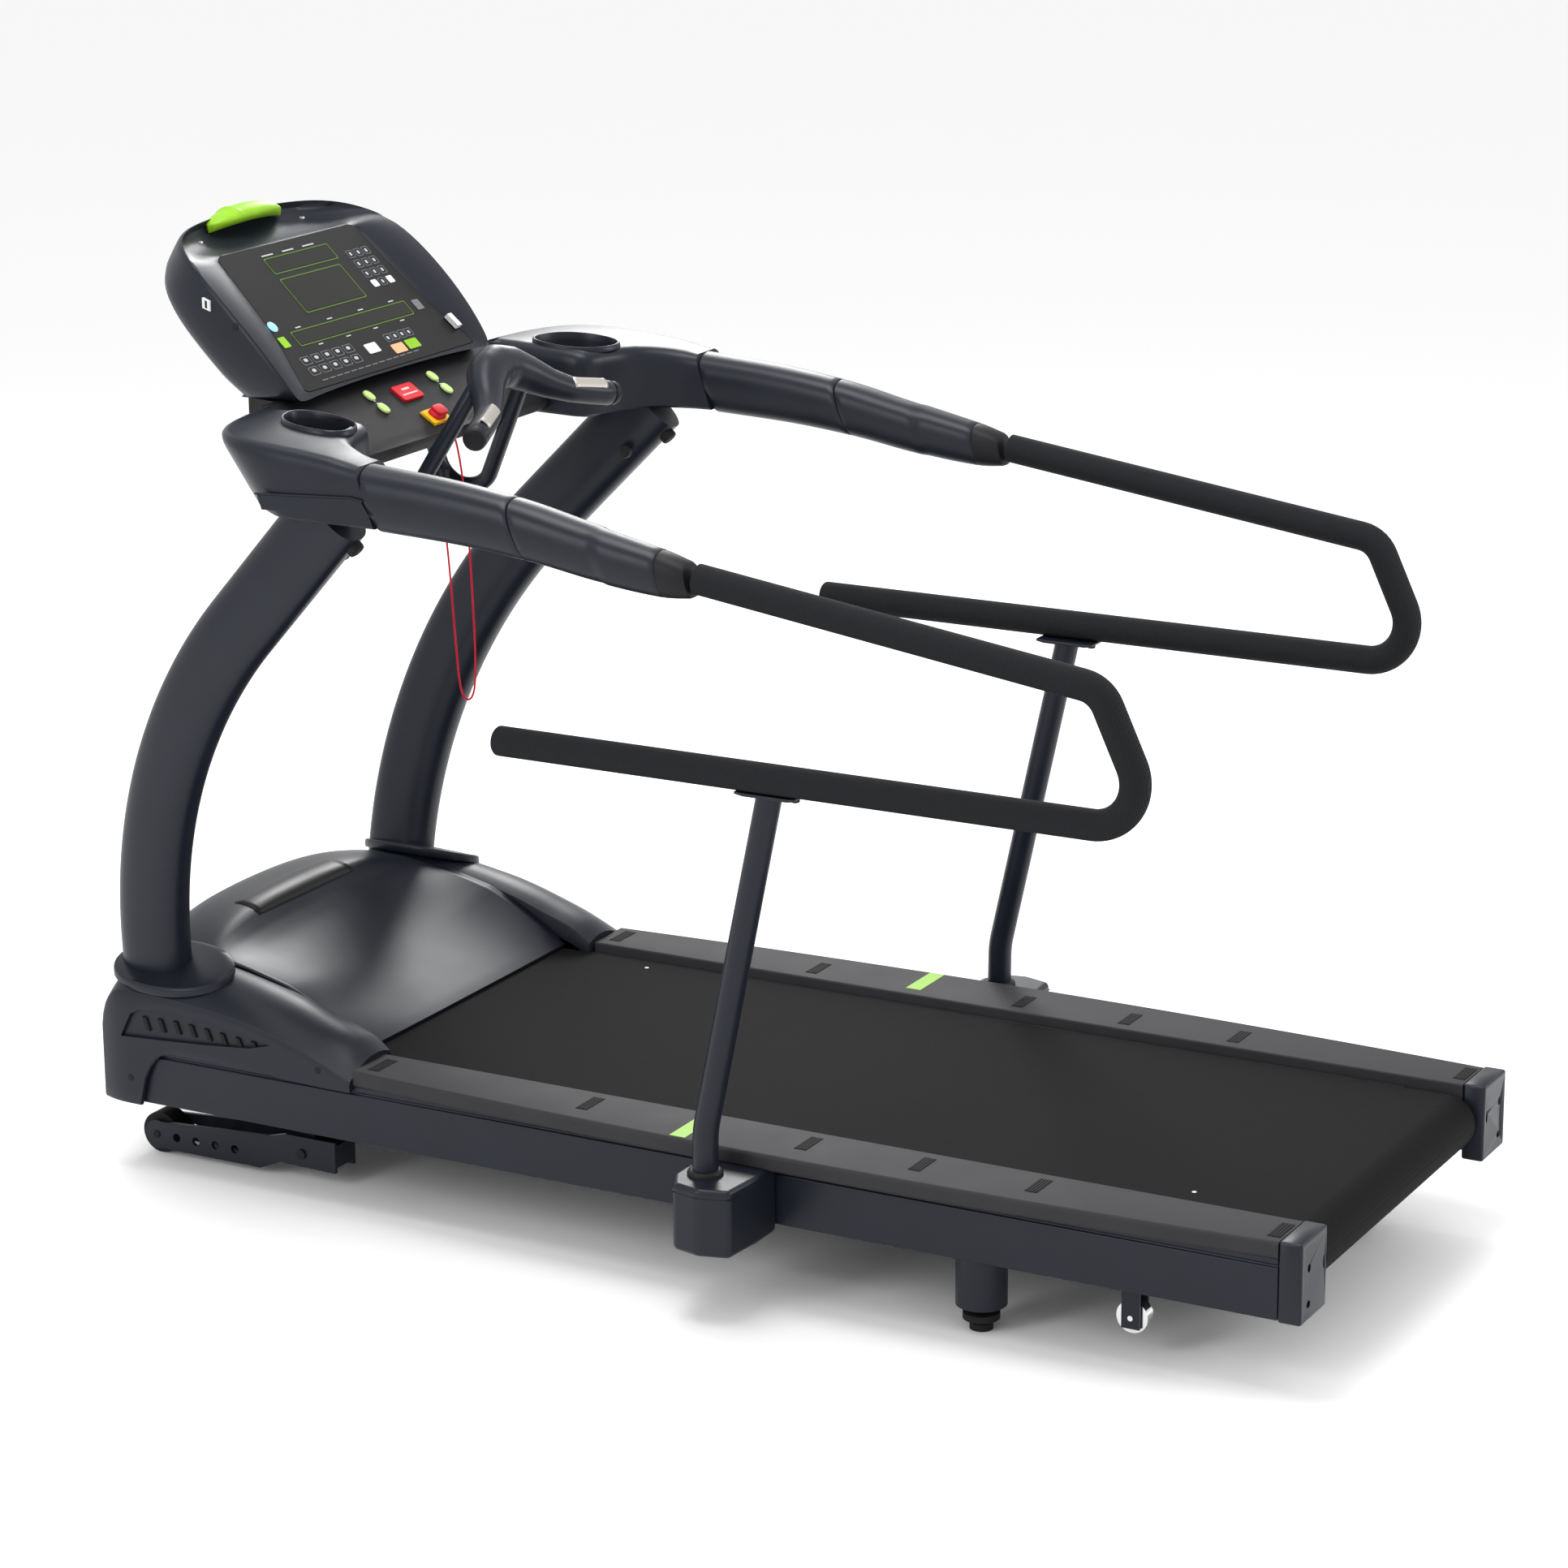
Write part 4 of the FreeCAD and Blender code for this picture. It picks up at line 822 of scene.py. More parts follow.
def vent(shell, side, sign):
    """The crescent recess with its nine slots, and two screws, on a shell's outer face. The slots are black
    pieces standing in for openings: painted shade.
    """
    outline = [
        (0.941, 0.222), (0.921, 0.261), (0.905, 0.270), (0.858, 0.275), (0.78, 0.2715), (0.71, 0.262),
        (0.66, 0.250)
    ]
    outline += [(0.70, 0.2395), (0.78, 0.232), (0.86, 0.2265)]
    low, high = sorted((sign * (HOOD_SIDE - 0.007), sign * (HOOD_SIDE + 0.01)))
    carve(shell, prism("cutter", outline, low, high, "X", dark_plastic()))
    # Each slot is a black piece, not an opening: its dark is painted shade.
    for index in range(9):
        t = index / 8
        y = 0.897 - 0.232 * t
        top = 0.262 - 0.012 * abs(t - 0.3) - 0.006 * t
        slot = [
            (y + 0.004, top), (y - 0.0035, top - 0.001), (y - 0.0105, top - 0.022 + 0.007 * t),
            (y - 0.003, top - 0.021 + 0.007 * t)
        ]
        low, high = sorted((sign * (HOOD_SIDE - 0.0085), sign * (HOOD_SIDE - 0.0035)))
        prism(f"vent_slot_shade_{side}_{index}", slot, low, high, "X", black_rubber(), slot="clip_black")
    for y, z in ((0.925, 0.156), (0.573, 0.225)):
        disc(
            f"hood_screw_{side}_{int(y * 1000)}",
            (sign * (HOOD_SIDE - 0.002), y, z),
            (sign, 0, 0),
            0.006,
            0.0026,
            black_rubber(),
            slot="clip_black",
        )


def hood_centre():
    columns = spread(-HOOD_SEAM + 0.0006, HOOD_SEAM - 0.0006, 49)
    rows = []
    stops = spread(0.566, 0.86, 26) + [0.875, 0.885, 0.893, 0.90, 0.91, 0.93, 0.945, 0.958]
    for x in columns:
        across = abs(x) / HOOD_SEAM
        line = [(x, 0.5665, 0.2185)]
        front = 1.0235 - 0.034 * across**2
        for y in stops:
            blend = across**3.2 * curve_value([(0.566, 0.05), (0.62, 0.5), (0.72, 1.0)], y)
            height = hood_dish(y) * (1 - blend) + (hood_shoulder(y) - 0.004) * blend
            brow = 0.016 * max(0.0, 1 - across**4) * curve_value(
                [(0.80, 0.0), (0.855, 0.05), (0.885, 0.9), (0.91, 1.0), (0.958, 0.7)], y
            )
            arch = 0.012 * (1 - across**2) * curve_value([(0.84, 0), (0.9, 1), (0.958, 1)], y)
            height = min(height + brow * 0.55 + arch * 0.3, 0.366)
            scale_y = 0.5665 + (y - 0.5665) * (front - 0.065 - 0.5665) / (0.958 - 0.5665)
            line.append((x, scale_y, height))
        edge_y, edge_z = line[-1][1], line[-1][2]
        for angle in (15, 30, 45, 60, 75, 90):
            a = math.radians(angle)
            line.append((x, edge_y + 0.065 * math.sin(a), edge_z - 0.09 * (1 - math.cos(a))))
        for t in (0.3, 0.65, 1.0):
            line.append((x, front, edge_z - 0.09 - (edge_z - 0.09 - 0.121) * t))
        rows.append(line)
    points = [p for line in rows for p in line]
    count = len(rows[0])
    faces = []
    for i in range(len(rows) - 1):
        for j in range(count - 1):
            a = i * count + j
            faces.append((a, a + 1, a + count + 1, a + count))
    made = add_mesh("hood_cover", points, faces, shell_plastic(), slot="shell_plastic", sharp=50)
    thick = made.modifiers.new("wall", "SOLIDIFY")
    thick.thickness = 0.003
    thick.offset = 1 if made.data.polygons[0].normal.z < 0 else -1
    settle(made)
    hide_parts("hood_top")
    plate(made)


def surface_height(made, x, y):
    hit, place, normal, _ = made.ray_cast(Vector((x, y, 2)), Vector((0, 0, -1)))
    return (place, normal) if hit else (Vector((x, y, 0.35)), Vector((0, 0, 1)))


def plate(cover):
    """The blank name plate on the hood's brow, laid on the curved cover."""
    rings = []
    for x in spread(-0.135, 0.135, 19):
        row_low = 0.868 - 0.10 * x * x
        row = []
        for t in spread(0, 1, 7):
            place, normal = surface_height(cover, x, row_low + 0.047 * t)
            lift = 0.0012 if 0 < t < 1 and abs(x) < 0.13 else 0.0003
            row.append(place + normal * lift)
        rings.append(row)
    made = rings_mesh("name_plate", rings, overlay_film(), closed=False, caps=False, slot="overlay_film")
    thick = made.modifiers.new("wall", "SOLIDIFY")
    thick.thickness = 0.001
    thick.offset = 0
    settle(made)


def collars():
    for side, sign in SIDES:
        rings = []
        centre = Vector((sign * 0.352, 0.874, 0.0))
        for grow, z in (
            (0.98, 0.318), (1.0, 0.320), (1.0, 0.3285), (0.988, 0.3315), (0.96, 0.333), (0.80, 0.3335)
        ):
            ring = []
            for a, b in superellipse(48, 2.15):
                ring.append(
                    Vector(
                        (
                            centre.x + 0.059 * grow * a,
                            centre.y + (0.108 if b > 0 else 0.104) * grow * b, z - 0.020 * a * sign
                        )
                    )
                )
            rings.append(ring)
        made = rings_mesh(f"column_collar_{side}", rings, shell_plastic(), slot="shell_plastic")
        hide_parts("trim_collars")


COLUMN_SPLAY, COLUMN_TURN = 8.2, 44
COLUMN_BEND = 0.9


def column_points(sign):
    """The column's centre line, as in the CAD: straight, one long arc, straight."""
    splay, turn = math.radians(COLUMN_SPLAY), math.radians(COLUMN_TURN)
    radius = COLUMN_BEND
    up = Vector((sign * math.sin(splay), 0, math.cos(splay)))
    foot = Vector((sign * 0.327, 0.912, 0.211))
    bend = foot + up * 0.09
    points = [foot.lerp(bend, t) for t in spread(0.2, 0.95, 5)]
    for i in range(49):
        a = turn * i / 48
        points.append(bend + Vector((0, -radius * (1 - math.cos(a)), 0)) + up * radius * math.sin(a))
    heading = (points[-1] - points[-2]).normalized()
    last = points[-1]
    points += [last + heading * (0.27 * i / 14) for i in range(1, 15)]
    return points


def columns():
    for side, sign in SIDES:
        points = column_points(sign)
        across = Vector((1, 0, 0))
        rings = []
        for index, point in enumerate(points):
            ahead, behind = points[min(index + 1, len(points) - 1)], points[max(index - 1, 0)]
            heading = (ahead - behind).normalized()
            side_way = (across - heading * across.dot(heading)).normalized()
            fore = heading.cross(side_way)
            rings.append(
                [point + side_way * 0.0357 * a + fore * 0.0577 * b for a, b in superellipse(56, 2.5)]
            )
        made = rings_mesh(f"column_tube_{side}", rings, paint(), slot="frame_paint")
        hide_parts(f"column_{side}")
        disc(
            f"column_knob_{side}", (sign * 0.452, 0.452, 1.064), (0, -0.72, -0.69), 0.013, 0.018,
            black_rubber(), 0.004, slot="clip_black"
        )
        disc(
            f"column_knob_base_{side}", (sign * 0.452, 0.458, 1.070), (0, -0.72, -0.69), 0.018, 0.010,
            black_rubber(), 0.003, slot="clip_black"
        )
        disc(
            f"column_bolt_{side}", (sign * 0.408, 0.497, 1.035), (-sign, 0, 0.1), 0.011, 0.008,
            dark_plastic(), 0.003, slot="clip_black"
        )


# ------------------------------------------------------------------ arms and handrails

ARM_KNOTS = {
    "z": [(-0.140, 1.081), (-0.095, 1.086), (0.02, 1.104), (0.128, 1.124), (0.25, 1.138), (0.38, 1.146)],
    "wide": [
        (-0.140, 0.0235), (-0.095, 0.029), (0.02, 0.034), (0.128, 0.0365), (0.25, 0.0385), (0.38, 0.040)
    ],
    "tall": [
        (-0.140, 0.025), (-0.095, 0.033), (0.02, 0.040), (0.128, 0.0435), (0.25, 0.0455), (0.38, 0.0475)
    ],
}
ARM_X = 0.488
ARM_SEAM_Y = 0.3775


def arm_section(sign, y, shrink=1.0, lean=0.0):
    """One rounded section of an arm cover. Its top is rounder than its lower corners."""
    z, wide, tall = (curve_value(ARM_KNOTS[k], y) for k in ("z", "wide", "tall"))
    ring = []
    for a, b in superellipse(56, 2.9):
        crown = 1 - 0.10 * max(0.0, b) * abs(a)
        belly = 1 - 0.16 * max(0.0, -b)
        x = sign * (ARM_X + (0.004 if y < 0 else 0)) + a * wide * belly * shrink
        ring.append(Vector((x, y + lean * b, z + b * tall * crown * shrink)))
    return ring


def arm_cover(name, sign, start, end, lean_start, lean_end):
    """A cover between two slanting seams, with a small step at each seam."""
    rings = []
    stops = [0.0, 0.004, 0.008] + spread(0.05, 0.95, 22) + [0.992, 0.996, 1.0]
    for t in stops:
        y = start + (end - start) * t
        lean = lean_start + (lean_end - lean_start) * t
        shrink = 0.955 if t in (0.0, 1.0) else (0.985 if t in (0.004, 0.996) else 1.0)
        rings.append(arm_section(sign, y, shrink, lean))
    return rings_mesh(name, rings, shell_plastic(), slot="shell_plastic")


def arms():
    for side, sign in SIDES:
        rear = arm_cover(f"arm_cover_rear_{side}", sign, -0.0952, 0.134, 0.004, 0.014)
        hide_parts("arm_rear_covers")
        middle = arm_cover(f"arm_cover_mid_{side}", sign, 0.1345, 0.3765, 0.014, 0.014)
        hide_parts("arm_mid_covers")
        rings = []
        for y, grow in (
            (-0.139, 0.86), (-0.1385, 0.95), (-0.135, 1.0), (-0.115, 1.0), (-0.099, 1.0),
            (-0.0956, 0.97)
        ):
            rings.append(arm_section(sign, y, grow, 0.004))
        rings_mesh(f"arm_end_collar_{side}", rings, dark_plastic(), slot="shell_plastic")
        arm_front(side, sign)


def front_outline(level):
    """Plan outline of the arm's front casing at a height from 0, the underside, to 1, the top."""
    rake = 0.072 * (1 - level)
    narrow = 0.010 * (1 - level)
    plan = []
    plan += [(0.5275 - narrow * 0.4, y) for y in spread(ARM_SEAM_Y, 0.50, 9)]
    nose = [(0.5285, 0.525, 0.2), (0.5280, 0.552, 0.45), (0.5255, 0.580, 0.7), (0.519, 0.608, 0.88)]
    nose += [(0.508, 0.632, 1.0), (0.492, 0.652, 1.0), (0.472, 0.667, 0.95), (0.447, 0.679, 0.85)]
    nose += [(0.417, 0.688, 0.7), (0.38, 0.695, 0.5), (0.34, 0.699, 0.3), (0.3025, 0.700, 0.2)]
    plan += [(x - narrow * 0.6, y - rake * f) for x, y, f in nose]
    plan += [(0.3025, y) for y in spread(0.684, 0.530, 8)]
    plan += [(0.308, 0.512), (0.322, 0.502), (0.345, 0.497), (0.368, 0.492), (0.390, 0.484)]
    plan += [(0.408, 0.472), (0.422, 0.456), (0.433, 0.438), (0.441, 0.420), (0.446, 0.400)]
    plan += [(0.4485, ARM_SEAM_Y)]
    plan += [(x, ARM_SEAM_Y) for x in spread(0.462, 0.514, 5)]
    return plan


def front_top(y):
    """Height of the front casing's top surface."""
    return curve_value(
        [(ARM_SEAM_Y, 1.1935), (0.47, 1.2065), (0.56, 1.2145), (0.62, 1.2175), (0.70, 1.2195)], y
    )


def inset_ring(plan, inset, place):
    """The plan outline moved inwards. place(x, y, moved x, moved y) then gives each point its height."""
    ring, count = [], len(plan)
    for index, (x, y) in enumerate(plan):
        ahead, behind = plan[(index + 1) % count], plan[index - 1]
        along = Vector((ahead[0] - behind[0], ahead[1] - behind[1])).normalized()
        ring.append(place(x, y, x - along.y * inset, y + along.x * inset))
    return ring


def arm_front(side, sign):
    rings = []
    layers = [(0.0, 0.012), (0.0, 0.004), (0.04, 0.0), (0.3, 0.0), (0.6, 0.0), (0.78, 0.0)]
    layers += [
        (0.85, 0.0008), (0.90, 0.0026), (0.94, 0.0055), (0.97, 0.0095), (0.99, 0.0145), (1.0, 0.0205)
    ]
    for level, inset in layers:

        def place(x, y, px, py):
            if abs(y - ARM_SEAM_Y) < 0.0005:
                py = y
            if y < 0.44:
                py += 0.014 * (2 * level - 1) * (0.44 - y) / 0.0625
            low = 1.1065 + 0.021 * max(0, y - 0.5)
            return Vector((sign * px, py, low + (front_top(y) - low) * level))

        rings.append(inset_ring(front_outline(level), inset, place))
    hole = cup_ring(sign, 1.06, 1.2125)
    made = casing_with_hole(f"arm_casing_{side}", rings, hole)
    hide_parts(f"arm_front_{side}")
    wall = [
        (0.2, 1.1662), (0.86, 1.1662), (0.91, 1.168), (0.93, 1.174), (0.985, 1.206), (1.0, 1.2165),
        (1.02, 1.2190)
    ]
    wall += [
        (1.045, 1.2192), (1.075, 1.2175), (1.085, 1.2110), (1.02, 1.2100), (0.97, 1.1720),
        (0.90, 1.1640), (0.2, 1.1640)
    ]
    liner = [cup_ring(sign, grow, z) for grow, z in wall]
    rings_mesh(f"cup_liner_{side}", liner, shell_plastic(), slot="shell_plastic", sharp=50)
    side_panel(side, sign)


def cup_ring(sign, grow, z):
    """The cup's D-shaped outline, flat towards the machine's middle and tilted with the casing's top."""
    points = []
    for a, b in superellipse(48, 2.3):
        flat = 0.86 if a * sign < 0 else 1.0
        across, along = sign * a * 0.052 * grow, (0.058 * b - 0.015 * a * sign) * grow
        points.append(Vector((sign * 0.362 + sign * across * flat, 0.560 + along, z + 0.005 * b * grow)))
    return points


def casing_with_hole(name, rings, hole):
    """A skin through the rings, closed below and closed above except for one hole."""
    work = bmesh.new()
    rows = [[work.verts.new(p) for p in ring] for ring in rings]
    count = len(rows[0])
    for low, high in zip(rows, rows[1:]):
        for i in range(count):
            work.faces.new((low[i], low[(i + 1) % count], high[(i + 1) % count], high[i]))
    work.faces.new(rows[0][::-1])
    rim = [work.verts.new(p) for p in hole]
    edges = [work.edges.new((rim[i], rim[(i + 1) % len(rim)])) for i in range(len(rim))]
    edges += [work.edges.get((rows[-1][i], rows[-1][(i + 1) % count])) for i in range(count)]
    bmesh.ops.triangle_fill(work, use_beauty=True, use_dissolve=False, edges=edges)
    bmesh.ops.recalc_face_normals(work, faces=work.faces)
    data = bpy.data.meshes.new(name)
    work.to_mesh(data)
    work.free()
    made = bpy.data.objects.new(name, data)
    bpy.context.scene.collection.objects.link(made)
    for face in data.polygons:
        face.use_smooth = True
    data.set_sharp_from_angle(angle=math.radians(40))
    data.materials.append(shell_plastic())
    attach(made, "frame")
    return made


def side_panel(side, sign):
    """The long panel low on the casing's outer side, as a thin inlay with a fine lip along its top."""
    panel = [
        (0.552, 1.1185), (0.560, 1.1400), (0.40, 1.1490), (0.380, 1.1465), (0.366, 1.1250),
        (0.372, 1.1215)
    ]
    low, high = sorted((sign * 0.5262, sign * 0.5284))
    made = prism(f"side_panel_{side}", panel, low, high, "X", shell_plastic(), slot="shell_plastic")
    soften(made, 0.0008, 2)
    lip = [
        (0.563, 1.1400), (0.563, 1.1425), (0.40, 1.1518), (0.376, 1.1485), (0.376, 1.1465),
        (0.40, 1.1495)
    ]
    low, high = sorted((sign * 0.5262, sign * 0.5296))
    soften(prism(f"side_lip_{side}", lip, low, high, "X", shell_plastic(), slot="shell_plastic"), 0.0008, 2)


HANDRAIL_X = 0.495
SLEEVE_RADIUS, POST_RADIUS = 0.0218, 0.0188


def handrail_corners(sign):
    x, inside = sign * HANDRAIL_X, sign * ARM_X
    return [
        (inside, 0.33, 1.148),
        (inside + sign * 0.005, -0.06, 1.096),
        (x, -0.758, 1.000),
        (x, -0.845, 0.813),
        (x, 0.178, 0.813),
    ]


def handrails():
    for side, sign in SIDES:
        points = rounded_path(handrail_corners(sign), (0.9, 0.046, 0.062))
        sleeve = [p for p in points if p.y < -0.137 or p.z < 1.0]
        made = tube(
            f"grip_foam_{side}", sleeve, SLEEVE_RADIUS, foam(), dome=True, count=40, slot="sleeve_foam"
        )
        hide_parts("grip_sleeves", f"handrail_{side}")
        post_points = rounded_path(
            [(sign * 0.48, -0.1401, 0.170), (sign * 0.48, -0.142, 0.275), (sign * 0.4845, -0.2535, 0.7885)],
            (0.16,)
        )
        post = tube(f"post_tube_{side}", post_points, POST_RADIUS, paint(), slot="frame_paint")
        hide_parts("handrail_posts")
        saddle(side, sign)
        clamp(side, sign)


def saddle(side, sign):
    """The plate between post and handrail, with upturned ends and two screws."""
    x = sign * 0.4852
    profile = [(-0.305, 0.7885), (-0.292, 0.7862), (-0.222, 0.7862), (-0.209, 0.7885)]
    profile += [(-0.209, 0.7925), (-0.222, 0.7912), (-0.292, 0.7912), (-0.305, 0.7925)]
    plate_piece = prism(
        f"saddle_plate_{side}", profile, x - 0.023, x + 0.023, "X", paint(), slot="frame_paint"
    )
    soften(plate_piece, 0.0012, 2)
    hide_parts("post_brackets")
    for y in (-0.294, -0.216):
        disc(
            f"saddle_screw_{side}_{int(-y * 1000)}", (x, y, 0.7868), (0, 0, -1), 0.0065, 0.0055,
            black_rubber(), 0.002, slot="clip_black"
        )


def clamp(side, sign):
    plan = [
        (0.4012, -0.0965), (0.499, -0.0985), (0.5345, -0.1175), (0.5435, -0.161), (0.5295, -0.2075),
        (0.460, -0.2135), (0.4012, -0.2135)
    ]
    outline = [(sign * x, y) for x, y in plan]
    made = prism(f"clamp_block_{side}", outline, 0.1045, 0.2070, "Z", shell_plastic(), slot="shell_plastic")
    soften(made, 0.008, 5, 25)
    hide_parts("post_brackets")
    rings = []
    for r, z in (
        (0.0188, 0.2045), (0.0262, 0.2050), (0.0262, 0.2105), (0.0245, 0.2135), (0.0215, 0.2150),
        (0.0188, 0.2150)
    ):
        rings.append([(sign * 0.48 + r * a, -0.1405 + r * b, z) for a, b in superellipse(40, 2)])
    rings_mesh(f"clamp_ring_{side}", rings, dark_plastic(), slot="shell_plastic", sharp=50)
    rings_mesh(
        f"clamp_shadow_line_{side}",
        [
            [(sign * x * k + sign * 0.47 * (1 - k), y * k - 0.155 * (1 - k), z) for x, y in plan] for k,
            z in ((1.004, 0.1935), (1.004, 0.1945))
        ],
        dark_plastic(),
        slot="shell_plastic",
    )


# ------------------------------------------------------------------ dash, console and grip

DASH_LOW, DASH_HIGH = Vector((0, 0.574, 1.143)), Vector((0, 0.690, 1.218))
FACE_LOW, FACE_HIGH = Vector((0, 0.667, 1.218)), Vector((0, 0.863, 1.406))


class Slope:
    """A sloping plane: u runs across the machine, v up the slope and w out of it."""

    def __init__(self, low, high):
        self.low = low
        self.up = (high - low).normalized()
        self.out = Vector((1, 0, 0)).cross(self.up)

    def at(self, u, v, w):
        return self.low + Vector((1, 0, 0)) * u + self.up * v + self.out * w

    def outline(self, name, points, w0, w1, material, round_by=0.0, **options):
        made = rings_mesh(
            name, [[self.at(u, v, w) for u, v in points] for w in (w0, w1)], material, **options
        )
        return soften(made, round_by, 3, 40) if round_by else made

    def key(self, name, u, v, wide, deep, w0, w1, material, round_by=0.0008, corner=0.22, **options):
        """A rounded key, wide across and deep up the slope."""
        r = min(wide, deep) * corner
        points = []
        for cx, cy, start in (
            (wide / 2 - r, deep / 2 - r, 0),
            (r - wide / 2, deep / 2 - r, 90),
            (r - wide / 2, r - deep / 2, 180),
            (wide / 2 - r, r - deep / 2, 270),
        ):
            points += arc_points((u + cx, v + cy), r, start, start + 90, 5)
        return self.outline(name, points, w0, w1, material, round_by, **options)

    def frame_line(self, name, u0, u1, v0, v1, w, thick, material, **options):
        """A thin rectangular outline printed on the slope."""
        r = 0.003
        outer, inner = [], []
        for grow, ring in ((0.0, outer), (-thick, inner)):
            a0, a1, b0, b1 = u0 - grow, u1 + grow, v0 - grow, v1 + grow
            for cx, cy, start in (
                (a1 - r, b1 - r, 0), (a0 + r, b1 - r, 90), (a0 + r, b0 + r, 180), (a1 - r, b0 + r, 270)
            ):
                ring += arc_points((cx, cy), r, start, start + 90, 4)
        rings = [[self.at(u, v, w) for u, v in outer], [self.at(u, v, w + 0.0004) for u, v in outer]]
        rings += [[self.at(u, v, w + 0.0004) for u, v in inner], [self.at(u, v, w) for u, v in inner]]
        rings.append(rings[0])
        return rings_mesh(name, rings, material, caps=False, **options)


DASH = Slope(DASH_LOW, DASH_HIGH)
FACE = Slope(FACE_LOW, FACE_HIGH)


def dash():
    half = 0.3022
    rings = []
    for x in spread(-half, half, 41):
        bow = 0.006 * (1 - (x / half) ** 2)
        rear = 0.760 if abs(x) < 0.262 else 0.704
        section = [(rear, 1.2172), (0.694, 1.2172)]
        section += [(0.690 - (0.690 - 0.580) * t, 1.2165 - (1.2165 - 1.1462) * t) for t in spread(0, 1, 14)]
        section += [
            (0.5752, 1.1425), (0.5728 - bow, 1.1385), (0.5722 - bow, 1.1330), (0.5738 - bow, 1.1265),
            (0.5790 - bow, 1.1190)
        ]
        section += [
            (0.588, 1.1135), (0.600, 1.1115), (0.698, 1.1115), (rear, 1.1130 if rear < 0.71 else 1.150)
        ]
        rings.append([(x, y, z) for y, z in section])
    made = rings_mesh("dash_body", rings, dark_plastic(), slot="dash_plastic", sharp=50)
    carve(made, DASH.key("cutter", 0, 0.0848, 0.0550, 0.0350, -0.007, 0.01, dark_plastic(), 0, 0.12))
    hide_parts("dash_panel")
    recolour("safety_key_seat", yellow())
    stop = DASH.key(
        "stop_button", 0, 0.0848, 0.0535, 0.0335, -0.0030, 0.0034, red(), 0.001, 0.12, body="key_stop",
        slot="stop_red"
    )
    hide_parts("stop_key")
    for name, v, wide, deep in (
        ("stop_mark", 0.0795, 0.040, 0.0028), ("stop_mark_top", 0.0905, 0.020, 0.0042)
    ):
        DASH.key(
            name, 0, v, wide, deep, 0.0033, 0.0037, pale_red(), 0, 0.3, body="key_stop", slot="stop_red"
        )
    for name, u, body in (("incline", -0.0865, "key_incline"), ("speed", 0.0905, "key_speed")):
        for word, v in (("down", 0.0685), ("up", 0.0995)):
            rings = []
            for grow, w in ((1.0, 0.0002), (1.0, 0.0022), (0.93, 0.0034), (0.78, 0.0040), (0.2, 0.0044)):
                rings.append(
                    [
                        DASH.at(u + 0.0085 * grow * a, v + 0.0115 * grow * b, w) for a,
                        b in superellipse(32, 2.2)
                    ]
                )
            oval = rings_mesh(f"{name}_{word}", rings, pale_green(), body=body, slot="key_green")
            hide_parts("incline_rocker" if name == "incline" else "speed_rocker")
        points = [(u - 0.0028, 0.0865), (u + 0.0028, 0.0865), (u, 0.0905)]
        DASH.outline(f"{name}_arrow_up", points, 0.0002, 0.0006, white_print())
        DASH.outline(
            f"{name}_arrow_down", [(u - 0.0028, 0.0822), (u, 0.0782), (u + 0.0028, 0.0822)], 0.0002,
            0.0006, white_print()
        )
    seat_points = [
        (-0.0225, 0.0085), (0.0225, 0.0085), (0.0245, 0.0125), (0.0215, 0.0355), (0.0185, 0.0395),
        (-0.0185, 0.0395), (-0.0215, 0.0355), (-0.0245, 0.0125)
    ]
    DASH.outline("key_plate", seat_points, 0.0002, 0.0042, yellow(), 0.0012, slot="seat_yellow")
    rings = []
    for w, wide, deep in (
        (0.0044, 0.0145, 0.0115), (0.008, 0.0145, 0.0115), (0.0115, 0.0125, 0.0100),
        (0.0155, 0.0132, 0.0105), (0.0168, 0.0125, 0.0098), (0.0172, 0.0100, 0.0075)
    ):
        rings.append([DASH.at(wide * a, 0.0238 + deep * b, w) for a, b in superellipse(40, 4)])
    key = rings_mesh("safety_key_cap", rings, red(), body="key_safety", slot="stop_red")
    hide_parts("safety_key")
    for u, v, r in ((0.150, 0.034, 0.006), (0.150, 0.034, 0.003)):
        disc(
            f"jack_{int(r * 1000)}", DASH.at(u, v, 0.0), DASH.out, r, 0.0022 if r > 0.004 else 0.0026,
            steel() if r > 0.004 else black_rubber(), 0.0006, slot="steel_turned"
        )


CREST = [
    (0, 0.004, 0.004), (0.06, 0.004, 0.004), (0.12, 0.003, 0.004), (0.18, 0.001, 0.004),
    (0.225, -0.002, 0.004),
    (0.250, -0.004, 0.004), (0.2635, -0.002, 0.005), (0.269, 0.008, 0.008), (0.272, 0.03, 0.0125),
    (0.275, 0.06, 0.017), (0.277, 0.10, 0.021), (0.278, 0.14, 0.0225), (0.277, 0.18, 0.0225),
    (0.274, 0.215, 0.021),
    (0.268, 0.245, 0.018), (0.259, 0.270, 0.013), (0.247, 0.290, 0.007), (0.231, 0.308, 0.001),
    (0.211, 0.3235, -0.005), (0.186, 0.336, -0.0105), (0.155, 0.346, -0.0155), (0.118, 0.353, -0.0195),
    (0.075, 0.358, -0.0225), (0.035, 0.3605, -0.024), (0, 0.361, -0.0245),
]


def crest_line():
    """The head's rim, once round, anticlockwise from the bottom middle, as (u, v, w) on the face's slope."""
    dense = []
    for (u0, v0, w0), (u1, v1, w1) in zip(CREST, CREST[1:]):
        dense += [(u0 + (u1 - u0) * t, v0 + (v1 - v0) * t, w0 + (w1 - w0) * t) for t in (0.0, 0.5)]
    smooth = []
    for index, point in enumerate(dense):
        near = dense[max(index - 1, 0)], point, dense[min(index + 1, len(dense) - 1)]
        smooth.append(
            tuple(sum(p[k] * f for p, f in zip(near, (0.25, 0.5, 0.25))) for k in range(3)) if index
            else point
        )
    half = smooth + [CREST[-1]]
    return half + [(-u, v, w) for u, v, w in half[-2:0:-1]]


